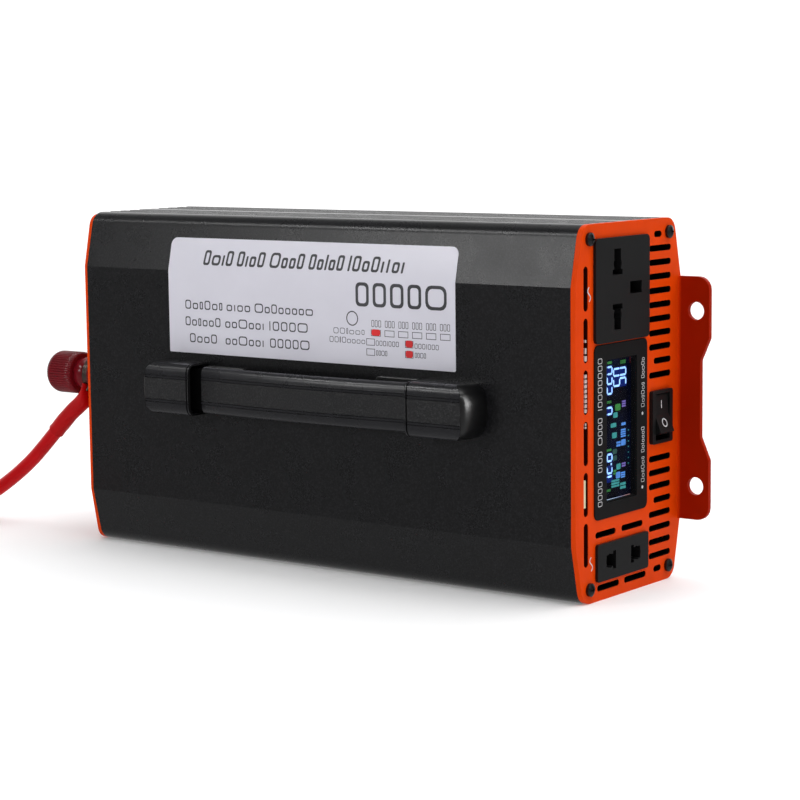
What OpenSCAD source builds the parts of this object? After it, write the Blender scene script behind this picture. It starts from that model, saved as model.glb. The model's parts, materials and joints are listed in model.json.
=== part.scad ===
// Power inverter standing on a long narrow side. X runs along the casing, with the mains outlets at
// +X and the battery terminals at -X. The carrying handle faces -Y, the mounting ears lie in the
// plane of the +Y side, and Z = 0 is the face that it stands on. All sizes are in millimetres.

/* [Casing] */
// Length over both end panels
body_l = 246; // [244:1:250]
// Depth from the handle side to the mounting side
body_d = 75; // [74:0.5:76]
// Height when standing on a narrow side
body_h = 140; // [139:0.5:142]
// Height of each sloping shoulder
shoulder_h = 22.5; // [20:0.5:24]
// How far each shoulder leans in
shoulder_in = 5; // [4:0.5:6]
// Radius of the four long corners
corner_r = 6; // [4:0.5:7]
// Thickness of the wide walls
wall_t = 2; // [1.8:0.1:2.2]
// Thickness of the ribbed narrow walls
rib_wall_t = 3; // [2.8:0.1:3]
// Depth of the grooves between the ribs
groove_depth = 1; // [0.6:0.1:1.2]
// Distance from one rib to the next
rib_pitch = 6; // [5.5:0.5:6.5]
// Thickness of the end panels' sheet
panel_t = 2; // [1.5:0.1:2]

/* [Mounting ears] */
// Reach of an ear between its lugs
ear_reach = 10; // [8:0.5:11]
// Reach of an ear at its lugs
lug_reach = 13.8; // [13:0.1:16]
// Diameter of the mounting holes
ear_hole_d = 7; // [5:0.5:8]
// Distance of the mounting holes from the panel's outer face
ear_hole_out = 8; // [7:0.5:8]
// Distance between the two holes of one ear
ear_hole_pitch = 68; // [64:1:72]

/* [Vents] */
// Width of a cooling slot
vent_w = 2.4; // [2:0.1:2.8]
// Distance between the slots behind the switch
vent_pitch = 5.36; // [5:0.02:5.6]

/* [Handle] */
// Length over both end caps of the handle
handle_l = 168; // [166:1:172]
// Length of each end cap
cap_l = 30; // [28:1:32]
// Width of the end caps
cap_w = 21.4; // [21:0.1:23]
// Height of the end caps above the casing
cap_h = 12; // [11.5:0.5:13]
// Width of the strap
strap_w = 18.6; // [18:0.1:18.8]
// Thickness of the strap
strap_t = 4.5; // [4:0.1:4.6]
// How far the strap rises when it is pulled
strap_lift = 18; // [14:1:20]

/* [Terminals] */
// Diameter of the clamping knobs
knob_d = 18.3; // [17:0.1:20]
// Length of the ribbed part of a knob
knob_l = 15.5; // [14:0.5:17]
// Diameter of the terminal studs
stud_d = 8; // [8:8]
// Height of the terminals above the standing face
terminal_z = 69.2; // [68:0.2:71]

/* [Fans] */
// Side of a fan's square frame
fan_size = 40; // [40:40]
// Thickness of a fan
fan_t = 20; // [18:1:20]
// Number of fan blades
blade_count = 7; // [5:1:9]

/* [Cable] */
// Diameter of the battery cable
cable_d = 6; // [5:0.5:6]
// Radius of the coil at the middle of the cable
coil_r = 33; // [33:33]

/* [Hidden] */
$fn = 48;

orange = [0.90, 0.30, 0.07];
black = [0.09, 0.09, 0.10];
maroon = [0.45, 0.07, 0.08];
red = [0.80, 0.06, 0.07];
steel = [0.72, 0.73, 0.74];
brass = [0.80, 0.62, 0.30];
copper = [0.75, 0.42, 0.26];
green = [0.08, 0.33, 0.18];

eps = 0.01;
fit = 0.05;
half_l = body_l / 2;
half_d = body_d / 2;
mid_z = body_h / 2;
shell_l = body_l - 2 * panel_t;
inner_x = half_l - panel_t;
narrow_half_d = half_d - shoulder_in;
lap = 1.5;

screw_y = 28.2;
screw_z = 5.4;
screw_r = 1.5;
screw_head_r = 2.5;
screw_head_h = 1.8;
screw_l = 12;
boss_r = 3.4;

cap_in = handle_l / 2 - cap_l;
plate_in = 33;
plate_t = 2;
strap_edge_h = 8;
strap_mid_h = 10.5;
strap_half_l = cap_in - 0.3;
tab_in = cap_in + 1.5;
tab_l = 20;
channel_gap = 0.3;

outlet_y = -6.4;
outlet_z = 115.3;
outlet_w = 38;
outlet_h = 38.6;
small_outlet_y = -6.1;
small_outlet_z = 14.4;
small_outlet_w = 36.2;
small_outlet_h = 14.1;

overlay_y = [-25.2, 12.1];
overlay_z = [30.5, 95.5];
overlay_t = 0.5;
window_y = [-16.8, 4.4];
window_z = [36.1, 89.8];

switch_y = 21.8;
switch_z = 64.4;
switch_w = 15;
switch_h = 20.5;
rocker_w = 10;
rocker_tilt = 12;
rocker_pivot_x = half_l - 3.5;

red_y = -20;
black_y = 10;
base_h = 10;
lug_t = 1.5;
washer_t = 1.5;
collar_h = 6;
collar_r = 7;

fan_z = [28, 112];
fan_hole_r = 18.5;
fan_screw_off = 16;
hub_r = 9;
blade_r = 18.4;

board_y = 26;
board_t = 1.6;
board_x = [-92, 88];
board_z = [10, 130];

// The battery cable's route, from its sleeve at the terminal to the coil, and from the coil to the
// far lug
sleeve_route = [[-135.5, -26, 58.7], [-138.5, -27, 56], [-142.5, -27.7, 52.6],
                [-147, -28, 48.4], [-151.7, -28, 44]];
lead_route = [[-151.7, -28, 44], [-159.2, -28, 37], [-167.4, -28, 29.8], [-177.5, -28, 22.4],
              [-188.6, -28, 15.4], [-199, -27.6, 9.8], [-207, -27.2, 6.2], [-214, -27, 4.2],
              [-222, -27, 3]];
coil_centre = [-222, -60, 0];
tail_route = [[-222, -93, 9], [-214, -93, 8.3], [-206, -93, 6.2], [-198, -93, 4.4],
              [-191, -93, 4.1]];
far_sleeve_route = [[-191, -93, 4.1], [-183, -93, 4.1], [-174, -93, 4.1]];
sleeve_r = [4, 4.1, 4.1, 4, 3.8];

function unit(v) = v / norm(v);

// Points of the arc that rounds corner b, between a and c
function corner(a, b, c, r, n) =
    let (u = unit(a - b),
         v = unit(c - b),
         half = acos(u * v) / 2,
         p = b + u * r / tan(half),
         q = b + v * r / tan(half),
         o = b + unit(u + v) * r / sin(half),
         a0 = atan2(p[1] - o[1], p[0] - o[0]),
         a1 = atan2(q[1] - o[1], q[0] - o[0]),
         turn = (a1 - a0 + 540) % 360 - 180)
    r == 0 ? [b] : [for (i = [0:n]) o + r * [cos(a0 + turn * i / n), sin(a0 + turn * i / n)]];

// A polygon's points with each corner rounded to its own radius
function rounded(points, radii, n = 5) =
    let (count = len(points))
    [for (i = [0:count - 1])
        each corner(points[(i + count - 1) % count], points[i], points[(i + 1) % count],
                    radii[i], n)];

// The casing's outline across its length, moved in by side_in and by narrow_in
function section(side_in, narrow_in) =
    let (n = narrow_half_d - side_in,
         w = half_d - side_in,
         r = corner_r - side_in)
    rounded([[-n, narrow_in], [n, narrow_in], [w, shoulder_h], [w, body_h - shoulder_h],
             [n, body_h - narrow_in], [-n, body_h - narrow_in], [-w, body_h - shoulder_h],
             [-w, shoulder_h]],
            [r, r, 0, 0, r, r, 0, 0], 8);

module along_x(x0, length) translate([x0, 0, 0]) rotate([90, 0, 90]) linear_extrude(length) children();

module along_y(y0, length) translate([0, y0 + length, 0]) rotate([90, 0, 0]) linear_extrude(length) children();

module box(low, high) translate(low) cube(high - low);

module rod_x(start, r, length) translate(start) rotate([0, 90, 0]) cylinder(r = r, h = length);

module rod_y(start, r, length) translate(start) rotate([-90, 0, 0]) cylinder(r = r, h = length);

module rounded_box_2d(y, z, r) polygon(rounded([[y[0], z[0]], [y[1], z[0]], [y[1], z[1]], [y[0], z[1]]], [r, r, r, r]));

module slot_2d(centre, length, width) {
    translate(centre) square([length - width, width], center = true);
    for (side = [-1, 1]) translate(centre + [side * (length - width) / 2, 0]) circle(d = width);
}

module tall_slot_2d(centre, length, width) translate(centre) rotate(90) slot_2d([0, 0], length, width);

// A tube swept along a route, with one radius for each point of the route
module tube(route, radii, sides = 8, side_axis = [0, 1, 0]) {
    last = len(route) - 1;
    points = [for (i = [0:last])
        let (t = unit(route[min(i + 1, last)] - route[max(i - 1, 0)]),
             u = unit(cross(side_axis, t)),
             v = cross(t, u))
        for (k = [0:sides - 1])
            route[i] + radii[i] * (u * cos(360 * k / sides) + v * sin(360 * k / sides))];
    walls = [for (i = [0:last - 1], k = [0:sides - 1])
        let (next = (k + 1) % sides)
        [i * sides + k, (i + 1) * sides + k, (i + 1) * sides + next, i * sides + next]];
    start_cap = [for (k = [0:sides - 1]) k];
    end_cap = [for (k = [sides - 1:-1:0]) last * sides + k];
    polyhedron(points, concat(walls, [start_cap], [end_cap]));
}

// Two mirrored copies about the middle height
module top_and_bottom() {
    children();
    translate([0, 0, body_h]) mirror([0, 0, 1]) children();
}

// ---- Casing ----

module groove_2d(y) translate([y - rib_pitch / 4, -eps]) square([rib_pitch / 2, groove_depth + eps]);

module casing_ring_2d() {
    difference() {
        union() {
            difference() {
                polygon(section(0, 0));
                polygon(section(wall_t, rib_wall_t));
            }
            for (y = [-1, 1], z = [screw_z, body_h - screw_z]) translate([y * screw_y, z]) circle(boss_r);
        }
        for (y = [-1, 1], z = [screw_z, body_h - screw_z])
            translate([y * screw_y, z]) circle(screw_r + fit);
        for (y = [-1, 1], i = [1:4]) {
            groove_2d(y * i * rib_pitch);
            translate([0, body_h]) mirror([0, 1]) groove_2d(y * i * rib_pitch);
        }
    }
}

module front_side_2d() {
    translate([-body_d, -1]) square([body_d - lap, body_h + 2]);
    for (z = [-1, body_h - rib_wall_t / 2])
        translate([-body_d, z]) square([body_d + lap, rib_wall_t / 2 + 1]);
}

module front_shell() {
    color(black)
    difference() {
        along_x(-shell_l / 2, shell_l)
            intersection() {
                casing_ring_2d();
                front_side_2d();
            }
        for (side = [-1, 1], x = handle_screw_x)
            rod_y([side * x, -half_d - 1, mid_z], screw_r + fit, wall_t + 2);
    }
}

module back_shell() {
    color(black)
    along_x(-shell_l / 2, shell_l)
        difference() {
            casing_ring_2d();
            front_side_2d();
        }
}

// ---- End panels ----

module panel_outline_2d() {
    difference() {
        polygon(section(0, 0));
        for (y = [-1, 1], z = [screw_z, body_h - screw_z])
            translate([y * screw_y, z]) circle(screw_r + 4 * fit);
    }
}

module side_vents_2d(y) {
    for (i = [-2.5:2.5]) tall_slot_2d([y, mid_z - 0.5 + 18.9 * i], 16.4, 3);
}

module ear() {
    half_pitch = ear_hole_pitch / 2;
    narrow = 14.9;
    lug_start = 23.6;
    lug_end = 47.2;
    difference() {
        along_y(half_d - panel_t, panel_t)
            translate([0, mid_z])
            polygon(rounded([[inner_x, -lug_end], [half_l + lug_reach, -lug_end],
                             [half_l + lug_reach, -lug_start], [half_l + ear_reach, -narrow],
                             [half_l + ear_reach, narrow], [half_l + lug_reach, lug_start],
                             [half_l + lug_reach, lug_end], [inner_x, lug_end]],
                            [0, 5, 2, 2, 2, 2, 5, 0]));
        for (side = [-1, 1])
            rod_y([half_l + ear_hole_out, half_d - panel_t - 1, mid_z + side * half_pitch],
                  ear_hole_d / 2, panel_t + 2);
    }
}

module switch_vents_2d() {
    full = [14.2, 30.2];
    short = [17.6, 30.4];
    beside_screw = [17.7, 23.3];
    above = [for (i = [0:10]) 80.5 + vent_pitch * i];
    below = [for (i = [0:8]) 48.3 - vent_pitch * i];
    for (i = [0:10]) {
        y = i == 10 ? beside_screw : i == 1 ? short : full;
        slot_2d([(y[0] + y[1]) / 2, above[i]], y[1] - y[0], vent_w);
    }
    for (i = [0:8]) {
        y = i == 8 ? beside_screw : i == 3 ? short : full;
        slot_2d([(y[0] + y[1]) / 2, below[i]], y[1] - y[0], vent_w);
    }
}

module row_vents_2d() {
    slot_2d([-16.9, 24.9], 14.2, vent_w);
    slot_2d([2, 24.9], 15.4, vent_w);
    slot_2d([-15.1, 4.8], 15.5, vent_w);
    slot_2d([4.1, 4.8], 15.8, vent_w);
}

module centred_2d(y, z, w, h) translate([y - w / 2, z - h / 2]) square([w, h]);

module ac_end_panel() {
    color(orange) {
        along_x(inner_x, panel_t)
            difference() {
                panel_outline_2d();
                side_vents_2d(-30.5);
                switch_vents_2d();
                row_vents_2d();
                translate([window_y[0] - 0.5, window_z[0] - 0.5])
                    square([window_y[1] - window_y[0] + 1, window_z[1] - window_z[0] + 1]);
                centred_2d(outlet_y, outlet_z, outlet_w - 2, outlet_h - 2);
                centred_2d(small_outlet_y, small_outlet_z, small_outlet_w - 2, small_outlet_h - 2);
                centred_2d(switch_y, switch_z, switch_w - 2, switch_h - 1.3);
            }
        ear();
    }
}

module dc_end_panel() {
    color(orange)
    mirror([1, 0, 0]) {
        along_x(inner_x, panel_t)
            difference() {
                panel_outline_2d();
                side_vents_2d(-30.5);
                side_vents_2d(30.5);
                for (z = fan_z) translate([0, z]) {
                    circle(fan_hole_r);
                    for (a = [-1, 1], b = [-1, 1])
                        translate([a, b] * fan_screw_off) circle(1.8);
                }
                for (y = [red_y, black_y]) translate([y, terminal_z]) circle(6);
            }
        ear();
    }
}

// A pan-head screw pointing along +X from its head, with a cross recess
module pan_screw(length, head_r = screw_head_r, shank_r = screw_r) {
    dome_r = 4.2;
    difference() {
        intersection() {
            rod_x([-screw_head_h, 0, 0], head_r, screw_head_h);
            translate([dome_r - screw_head_h, 0, 0]) sphere(dome_r);
        }
        for (turn = [0, 90]) rotate([turn, 0, 0]) box([-2, -1.6, -0.3], [-0.9, 1.6, 0.3]);
    }
    rod_x([0, 0, 0], shank_r, length);
}

module corner_screws() {
    for (y = [-1, 1], z = [screw_z, body_h - screw_z])
        translate([-half_l, y * screw_y, z]) pan_screw(screw_l);
}

module ac_panel_screws() {
    color(black) mirror([1, 0, 0]) corner_screws();
}

module dc_panel_screws() {
    color(black) corner_screws();
}

// ---- Handle ----

handle_screw_x = [41, 70];

// The strap's outer surface above the casing at a distance x from its middle
function strap_h(x) = strap_mid_h - (strap_mid_h - strap_edge_h) * pow(x / cap_in, 2);

// The right-hand end cap; the left one is its mirror image
module handle_end() {
    side_r = 3.5;
    end_r = 4;
    half_w = cap_w / 2;
    outer_x = handle_l / 2;
    base_y = -half_d;
    difference() {
        union() {
            box([plate_in, base_y - plate_t, mid_z - 9.5], [cap_in + 1, base_y, mid_z + 9.5]);
            intersection() {
                along_x(cap_in, cap_l)
                    polygon(rounded([[base_y, mid_z - half_w], [base_y, mid_z + half_w],
                                     [base_y - cap_h, mid_z + half_w],
                                     [base_y - cap_h, mid_z - half_w]],
                                    [0, 0, side_r, side_r]));
                translate([0, 0, mid_z - half_w])
                    linear_extrude(cap_w)
                    polygon(rounded([[cap_in, base_y], [cap_in, base_y - cap_h],
                                     [outer_x, base_y - cap_h], [outer_x, base_y]],
                                    [0, 0, end_r, 0]));
            }
        }
        box([cap_in - eps, base_y - strap_edge_h - channel_gap, mid_z - strap_w / 2 - channel_gap],
            [tab_in + tab_l + 1, base_y - strap_edge_h + strap_t + channel_gap,
             mid_z + strap_w / 2 + channel_gap]);
        for (x = handle_screw_x) {
            rod_y([x, base_y - 5, mid_z], screw_r + 2 * fit, 6);
            rod_y([x, base_y - strap_edge_h + strap_t, mid_z], screw_head_r + fit,
                  strap_edge_h - strap_t - 1);
        }
    }
}

module handle_end_right() {
    color(black) handle_end();
}

module handle_end_left() {
    color(black) mirror([1, 0, 0]) handle_end();
}

module handle_screws() {
    color(steel)
    for (side = [-1, 1], x = handle_screw_x)
        translate([side * x, -half_d, mid_z]) {
            rod_y([0, -1.9, 0], screw_head_r, 0.9);
            rod_y([0, -1, 0], screw_r, 7);
        }
}

module handle_grip() {
    steps = 12;
    xs = [for (i = [-steps:steps]) i * strap_half_l / steps];
    outer = [for (x = xs) [x, -half_d - strap_h(x)]];
    inner = [for (i = [len(xs) - 1:-1:0]) outer[i] + [0, strap_t]];
    color(black)
    translate([0, 0, mid_z - strap_w / 2]) linear_extrude(strap_w) polygon(concat(outer, inner));
}

module strap_end() {
    box([tab_in, -half_d - strap_edge_h, mid_z - strap_w / 2],
        [tab_in + tab_l, -half_d - strap_edge_h + strap_t, mid_z + strap_w / 2]);
}

module strap_end_right() {
    color(black) strap_end();
}

module strap_end_left() {
    color(black) mirror([1, 0, 0]) strap_end();
}

module rating_label() {
    thick = 0.2;
    low = 84;
    bend = body_h - shoulder_h;
    high = 130.8;
    lean = shoulder_in / shoulder_h;
    high_y = -half_d + (high - bend) * lean;
    color([0.86, 0.85, 0.88])
    along_x(-74.5, 144.5)
        polygon([[-half_d, low], [-half_d, bend], [high_y, high],
                 [high_y - thick, high + thick * lean], [-half_d - thick, bend],
                 [-half_d - thick, low]]);
}

// ---- Display and switch ----

module display_overlay() {
    color(black)
    along_x(half_l, overlay_t)
        difference() {
            rounded_box_2d(overlay_y, overlay_z, 2.5);
            rounded_box_2d(window_y, window_z, 0.8);
        }
}

module lcd_glass() {
    edge = 0.4;
    color([0.20, 0.30, 0.45, 0.5])
    box([inner_x + 0.2, window_y[0] - edge, window_z[0] - edge],
        [half_l - 0.2, window_y[1] + edge, window_z[1] + edge]);
}

module lcd_module() {
    color(green) {
        box([inner_x - 10, -24, 31], [inner_x - 8, 11.5, 95]);
        box([inner_x - 8, window_y[0] - 2.2, window_z[0] - 2.2],
            [inner_x, window_y[1] + 2.2, window_z[1] + 2.2]);
    }
}

module switch_housing() {
    deep = 19;
    body_w = switch_w - 2.2;
    body_z = switch_h - 1.5;
    color(black)
    translate([0, switch_y, switch_z])
    difference() {
        union() {
            along_x(half_l, 1.6)
                rounded_box_2d([-switch_w / 2, switch_w / 2], [-switch_h / 2, switch_h / 2], 1);
            box([half_l - deep, -body_w / 2, -body_z / 2], [half_l, body_w / 2, body_z / 2]);
        }
        box([half_l - 9, -rocker_w / 2 - 0.2, -8.9], [half_l + 2, rocker_w / 2 + 0.2, 8.9]);
        rod_y([rocker_pivot_x, -rocker_w / 2 - 1.2, 0], 1.2 + fit, rocker_w + 2.4);
    }
}

module switch_rocker() {
    color(black)
    translate([rocker_pivot_x, switch_y, switch_z]) rotate([0, -rocker_tilt, 0]) {
        along_y(-rocker_w / 2, rocker_w)
            polygon([[5.9, -7.4], [4.7, 0], [5.9, 7.4], [1.5, 8], [-2.5, 5.5], [-2.5, -5.5], [1.5, -8]]);
        rod_y([0, -rocker_w / 2 - 1, 0], 1.2, rocker_w + 2);
    }
}

module switch_tabs() {
    color(brass)
    for (z = [-6.5, 0, 6.5])
        box([half_l - 27, switch_y - 2.4, switch_z + z - 0.4],
            [half_l - 19, switch_y + 2.4, switch_z + z + 0.4]);
}

// ---- Mains outlets ----

outlet_deep = 24;
pin_deep = 18;
slot_half = 2.3;

// A live slot for flat and round pins, reaching out from the middle along +Z
module live_slot_2d() {
    translate([0, 9.5]) circle(2.7);
    translate([-3.4, 5.4]) square([6.8, 2]);
    translate([-slot_half, 7]) square([2 * slot_half, 8]);
}

module earth_slot_2d() {
    translate([-4.1, -slot_half]) square([8.2, 2 * slot_half]);
}

module main_outlet_body() {
    live_y = -4;
    earth_y = 9;
    color(black)
    translate([0, outlet_y, outlet_z])
    difference() {
        union() {
            along_x(half_l, 1.2)
                rounded_box_2d([-outlet_w / 2, outlet_w / 2], [-outlet_h / 2, outlet_h / 2], 2);
            box([half_l - outlet_deep, -outlet_w / 2 + 1.2, -outlet_h / 2 + 1.2],
                [half_l, outlet_w / 2 - 1.2, outlet_h / 2 - 1.2]);
        }
        along_x(half_l - 3, 5) {
            for (side = [0, 1]) mirror([0, side]) translate([live_y, 0]) live_slot_2d();
            translate([earth_y, 0]) earth_slot_2d();
        }
        for (side = [0, 1]) mirror([0, 0, side])
            box([half_l - pin_deep, live_y - 3.5, 5], [half_l - 3, live_y + 3.5, 15.4]);
        box([half_l - pin_deep, earth_y - 4.4, -3.4], [half_l - 3, earth_y + 4.4, 3.4]);
    }
}

module main_outlet_contacts() {
    live_y = -4;
    earth_y = 9;
    color(brass)
    translate([0, outlet_y, outlet_z]) {
        for (side = [0, 1], leaf = [-1, 1]) mirror([0, 0, side])
            translate([0, live_y + leaf * 2.9, 0])
            box([half_l - pin_deep, -0.3, 6], [half_l - 5, 0.3, 14.8]);
        for (leaf = [-1, 1])
            translate([0, 0, leaf * 2.9])
            box([half_l - pin_deep, earth_y - 3.6, -0.3], [half_l - 5, earth_y + 3.6, 0.3]);
    }
}

module small_outlet_body() {
    half_w = small_outlet_w / 2;
    half_h = small_outlet_h / 2;
    color(black)
    translate([0, small_outlet_y, small_outlet_z])
    difference() {
        union() {
            along_x(half_l, 1.2) rounded_box_2d([-half_w, half_w], [-half_h, half_h], 1);
            box([half_l - outlet_deep, -half_w + 1.2, -half_h + 1.2],
                [half_l, half_w - 1.2, half_h - 1.2]);
        }
        for (side = [0, 1]) mirror([0, side, 0]) {
            along_x(half_l - 3, 5) {
                translate([9.5, 0]) circle(2.7);
                translate([5.4, -3.4]) square([2, 6.8]);
                translate([7, -slot_half]) square([5, 2 * slot_half]);
            }
            box([half_l - pin_deep, 5, -3.5], [half_l - 3, 12.6, 3.5]);
        }
    }
}

module small_outlet_contacts() {
    color(brass)
    translate([0, small_outlet_y, small_outlet_z])
    for (side = [0, 1], leaf = [-1, 1]) mirror([0, side, 0])
        translate([0, 0, leaf * 2.9]) box([half_l - pin_deep, 6, -0.3], [half_l - 5, 12, 0.3]);
}

// ---- Battery terminals ----

stud_r = stud_d / 2;
stud_out = 23;
stud_in = 17;

// Places a terminal's parts: +X of the children points out of the casing
module at_terminal(y) translate([-half_l, y, terminal_z]) mirror([1, 0, 0]) children();

module terminal_base() {
    difference() {
        union() {
            rod_x([0, 0, 0], 8, base_h);
            rod_x([-panel_t, 0, 0], 5.9, panel_t);
            rod_x([-panel_t - 2, 0, 0], 9, 2);
        }
        rod_x([-panel_t - 3, 0, 0], stud_r + fit, base_h + 10);
    }
}

module terminal_stud() rod_x([-stud_in, 0, 0], stud_r, stud_in + stud_out);

module terminal_washer(seat) {
    difference() {
        rod_x([seat, 0, 0], 7.5, washer_t);
        rod_x([seat - 1, 0, 0], stud_r + fit, washer_t + 2);
    }
}

// A knob from its collar outward, with a blind bore for the stud and a domed end
module terminal_knob(seat) {
    dome_h = 3.5;
    body_start = seat + collar_h;
    body_end = body_start + knob_l;
    outer_r = knob_d / 2;
    difference() {
        rotate([0, 90, 0])
            rotate_extrude()
            polygon(concat([[0, seat], [collar_r, seat], [collar_r, body_start], [outer_r, body_start]],
                           [for (a = [0:15:90]) [(outer_r - dome_h) + dome_h * cos(a),
                                                 body_end - dome_h + dome_h * sin(a)]],
                           [[0, body_end]]));
        rod_x([seat - 1, 0, 0], stud_r + fit, stud_out + 3 - seat);
    }
}

red_seat = base_h + lug_t;
black_seat = base_h;

module red_terminal_base() {
    color(maroon) at_terminal(red_y) terminal_base();
}

module red_terminal_stud() {
    color(brass) at_terminal(red_y) terminal_stud();
}

module red_terminal_washer() {
    color(steel) at_terminal(red_y) terminal_washer(red_seat);
}

module red_terminal_knob() {
    color(maroon) at_terminal(red_y) terminal_knob(red_seat + washer_t);
}

module black_terminal_base() {
    color(black) at_terminal(black_y) terminal_base();
}

module black_terminal_stud() {
    color(brass) at_terminal(black_y) terminal_stud();
}

module black_terminal_washer() {
    color(steel) at_terminal(black_y) terminal_washer(black_seat);
}

module black_terminal_knob() {
    color(black) at_terminal(black_y) terminal_knob(black_seat + washer_t);
}

strap_x = -inner_x + 2;
bus_t = 1.5;

module terminal_nuts() {
    color(steel)
    for (y = [red_y, black_y])
        translate([strap_x + bus_t, y, terminal_z])
        difference() {
            rotate([0, 90, 0]) cylinder(r = 7, h = 6, $fn = 6);
            rod_x([-1, 0, 0], stud_r + fit, 8);
        }
}

// Copper straps from the studs' inner ends to the board
module bus_straps() {
    red_z = terminal_z + 12;
    red_half = 4;
    black_half = 5;
    color(copper)
    difference() {
        union() {
            box([strap_x, red_y - 7, terminal_z - 7], [strap_x + bus_t, red_y + 7, red_z + red_half]);
            box([strap_x, red_y, red_z - red_half], [strap_x + bus_t, board_y, red_z + red_half]);
            box([strap_x, board_y - bus_t, red_z - red_half], [-86, board_y, red_z + red_half]);
            box([strap_x, black_y - 7, terminal_z - 7], [strap_x + bus_t, board_y, terminal_z + black_half]);
            box([strap_x, board_y - bus_t, terminal_z - 7], [-86, board_y, terminal_z + black_half - 1]);
        }
        for (y = [red_y, black_y]) rod_x([strap_x - 1, y, terminal_z], stud_r + fit, bus_t + 2);
    }
}

// ---- Battery cable ----

// A ring lug in the Y-Z plane, centred on the origin, whose neck points along -Z
module ring_lug(neck) {
    difference() {
        union() {
            rod_x([0, 0, 0], 7.5, lug_t);
            box([0, -3, -neck], [lug_t, 3, 0]);
        }
        rod_x([-1, 0, 0], stud_r + 0.3, lug_t + 2);
    }
}

module red_cable_lug() {
    neck_turn = 30;
    color(steel)
    translate([-half_l - base_h - lug_t, red_y, terminal_z]) rotate([-neck_turn, 0, 0]) ring_lug(9.2);
}

module red_cable_sleeve() {
    color(red) tube(sleeve_route, sleeve_r, 12);
}

function same(route, r) = [for (p = route) r];

module red_cable_lead() {
    color(red) tube(lead_route, same(lead_route, cable_d / 2));
}

module red_cable_coil() {
    color(red)
    translate(coil_centre)
    rotate_extrude()
        translate([coil_r - cable_d / 2, 0]) square([cable_d, 2 * cable_d]);
}

module red_cable_tail() {
    color(red) tube(tail_route, same(tail_route, cable_d / 2));
}

module far_cable_sleeve() {
    color(red) tube(far_sleeve_route, [3.8, 4, 4.1], 12);
}

module far_cable_lug() {
    end = far_sleeve_route[2];
    color(steel)
    translate([end[0] + 12, end[1], end[2] + lug_t / 2]) rotate([0, 90, 0]) ring_lug(12);
}

// ---- Fans ----

module fan_frame(z) {
    half = fan_size / 2;
    start = -inner_x;
    strut_w = 3;
    color(black)
    translate([0, 0, z])
    difference() {
        union() {
            difference() {
                box([start, -half, -half], [start + fan_t, half, half]);
                rod_x([start - 1, 0, 0], half - 1, fan_t + 2);
            }
            rod_x([start + fan_t - 3, 0, 0], hub_r, 3);
            for (turn = [0, 120, 240]) rotate([turn, 0, 0])
                box([start + fan_t - 3, -strut_w / 2, hub_r - 1], [start + fan_t, strut_w / 2, half - 0.5]);
        }
        rod_x([start, 0, 0], 1.5 + fit, fan_t + 1);
        for (a = [-1, 1], b = [-1, 1])
            rod_x([start - 1, a * fan_screw_off, b * fan_screw_off], 1.7, fan_t + 2);
    }
}

module fan_rotor(z) {
    start = -inner_x + 1.5;
    hub_l = fan_t - 5.5;
    color([0.13, 0.13, 0.14])
    translate([0, 0, z]) {
        rod_x([start, 0, 0], hub_r, hub_l);
        rod_x([start + hub_l - eps, 0, 0], 1.5, 3.5);
        intersection() {
            difference() {
                rod_x([start + 0.5, 0, 0], blade_r, hub_l - 1);
                rod_x([start, 0, 0], hub_r - 0.5, hub_l);
            }
            for (i = [0:blade_count - 1]) rotate([i * 360 / blade_count, 0, 0])
                translate([start + hub_l / 2, 0, hub_r - 1]) rotate([0, 0, 50])
                box([-9, -0.5, 0], [9, 0.5, blade_r]);
        }
    }
}

module fan_frame_upper() fan_frame(fan_z[1]);

module fan_frame_lower() fan_frame(fan_z[0]);

module fan_rotor_upper() fan_rotor(fan_z[1]);

module fan_rotor_lower() fan_rotor(fan_z[0]);

wire_r = 0.8;
eye_t = 1.6;

module fan_guards() {
    ring_x = -half_l - wire_r;
    spoke_x = ring_x - 1.2;
    eye_r = fan_screw_off * sqrt(2);
    color(steel)
    for (z = fan_z) translate([0, 0, z])
    difference() {
        union() {
            for (r = [5.5, 10.5, 15.5])
                translate([ring_x, 0, 0]) rotate([0, 90, 0]) rotate_extrude() translate([r, 0]) circle(wire_r, $fn = 16);
            for (turn = [45:90:315]) rotate([turn, 0, 0]) {
                translate([spoke_x, 0, 5]) cylinder(r = wire_r, h = eye_r - 7.8, $fn = 16);
                rod_x([-half_l - eye_t, 0, eye_r], 3.6, eye_t);
            }
        }
        for (turn = [45:90:315]) rotate([turn, 0, 0]) rod_x([-half_l - eye_t - 3, 0, eye_r], 1.8, 5);
    }
}

module fan_screws() {
    color(black)
    for (z = fan_z, a = [-1, 1], b = [-1, 1])
        translate([-half_l - eye_t, a * fan_screw_off, z + b * fan_screw_off])
        pan_screw(eye_t + panel_t + fan_t, 2.7, 1.6);
}

// ---- Circuit boards and what they carry ----

standoff_places = [for (x = [-87, 84], z = [27, 113]) [x, z]];
back_wall_y = half_d - wall_t;

module main_board() {
    color(green)
    difference() {
        box([board_x[0], board_y, board_z[0]], [board_x[1], board_y + board_t, board_z[1]]);
        for (p = standoff_places) rod_y([p[0], board_y - 1, p[1]], screw_r + 4 * fit, board_t + 2);
    }
}

module board_standoffs() {
    color(brass)
    for (p = standoff_places)
        translate([p[0], board_y + board_t, p[1]])
        difference() {
            rotate([-90, 0, 0]) cylinder(r = 3.2, h = back_wall_y - board_y - board_t, $fn = 6);
            rod_y([0, -1, 0], screw_r + fit, 7.5);
        }
}

module board_screws() {
    color(steel)
    for (p = standoff_places)
        translate([p[0], board_y, p[1]]) rotate([0, 0, 90]) pan_screw(7);
}

module heat_sink_bars() {
    color(steel)
    top_and_bottom() box([-85, -8, rib_wall_t], [75, 20, rib_wall_t + 6]);
}

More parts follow.
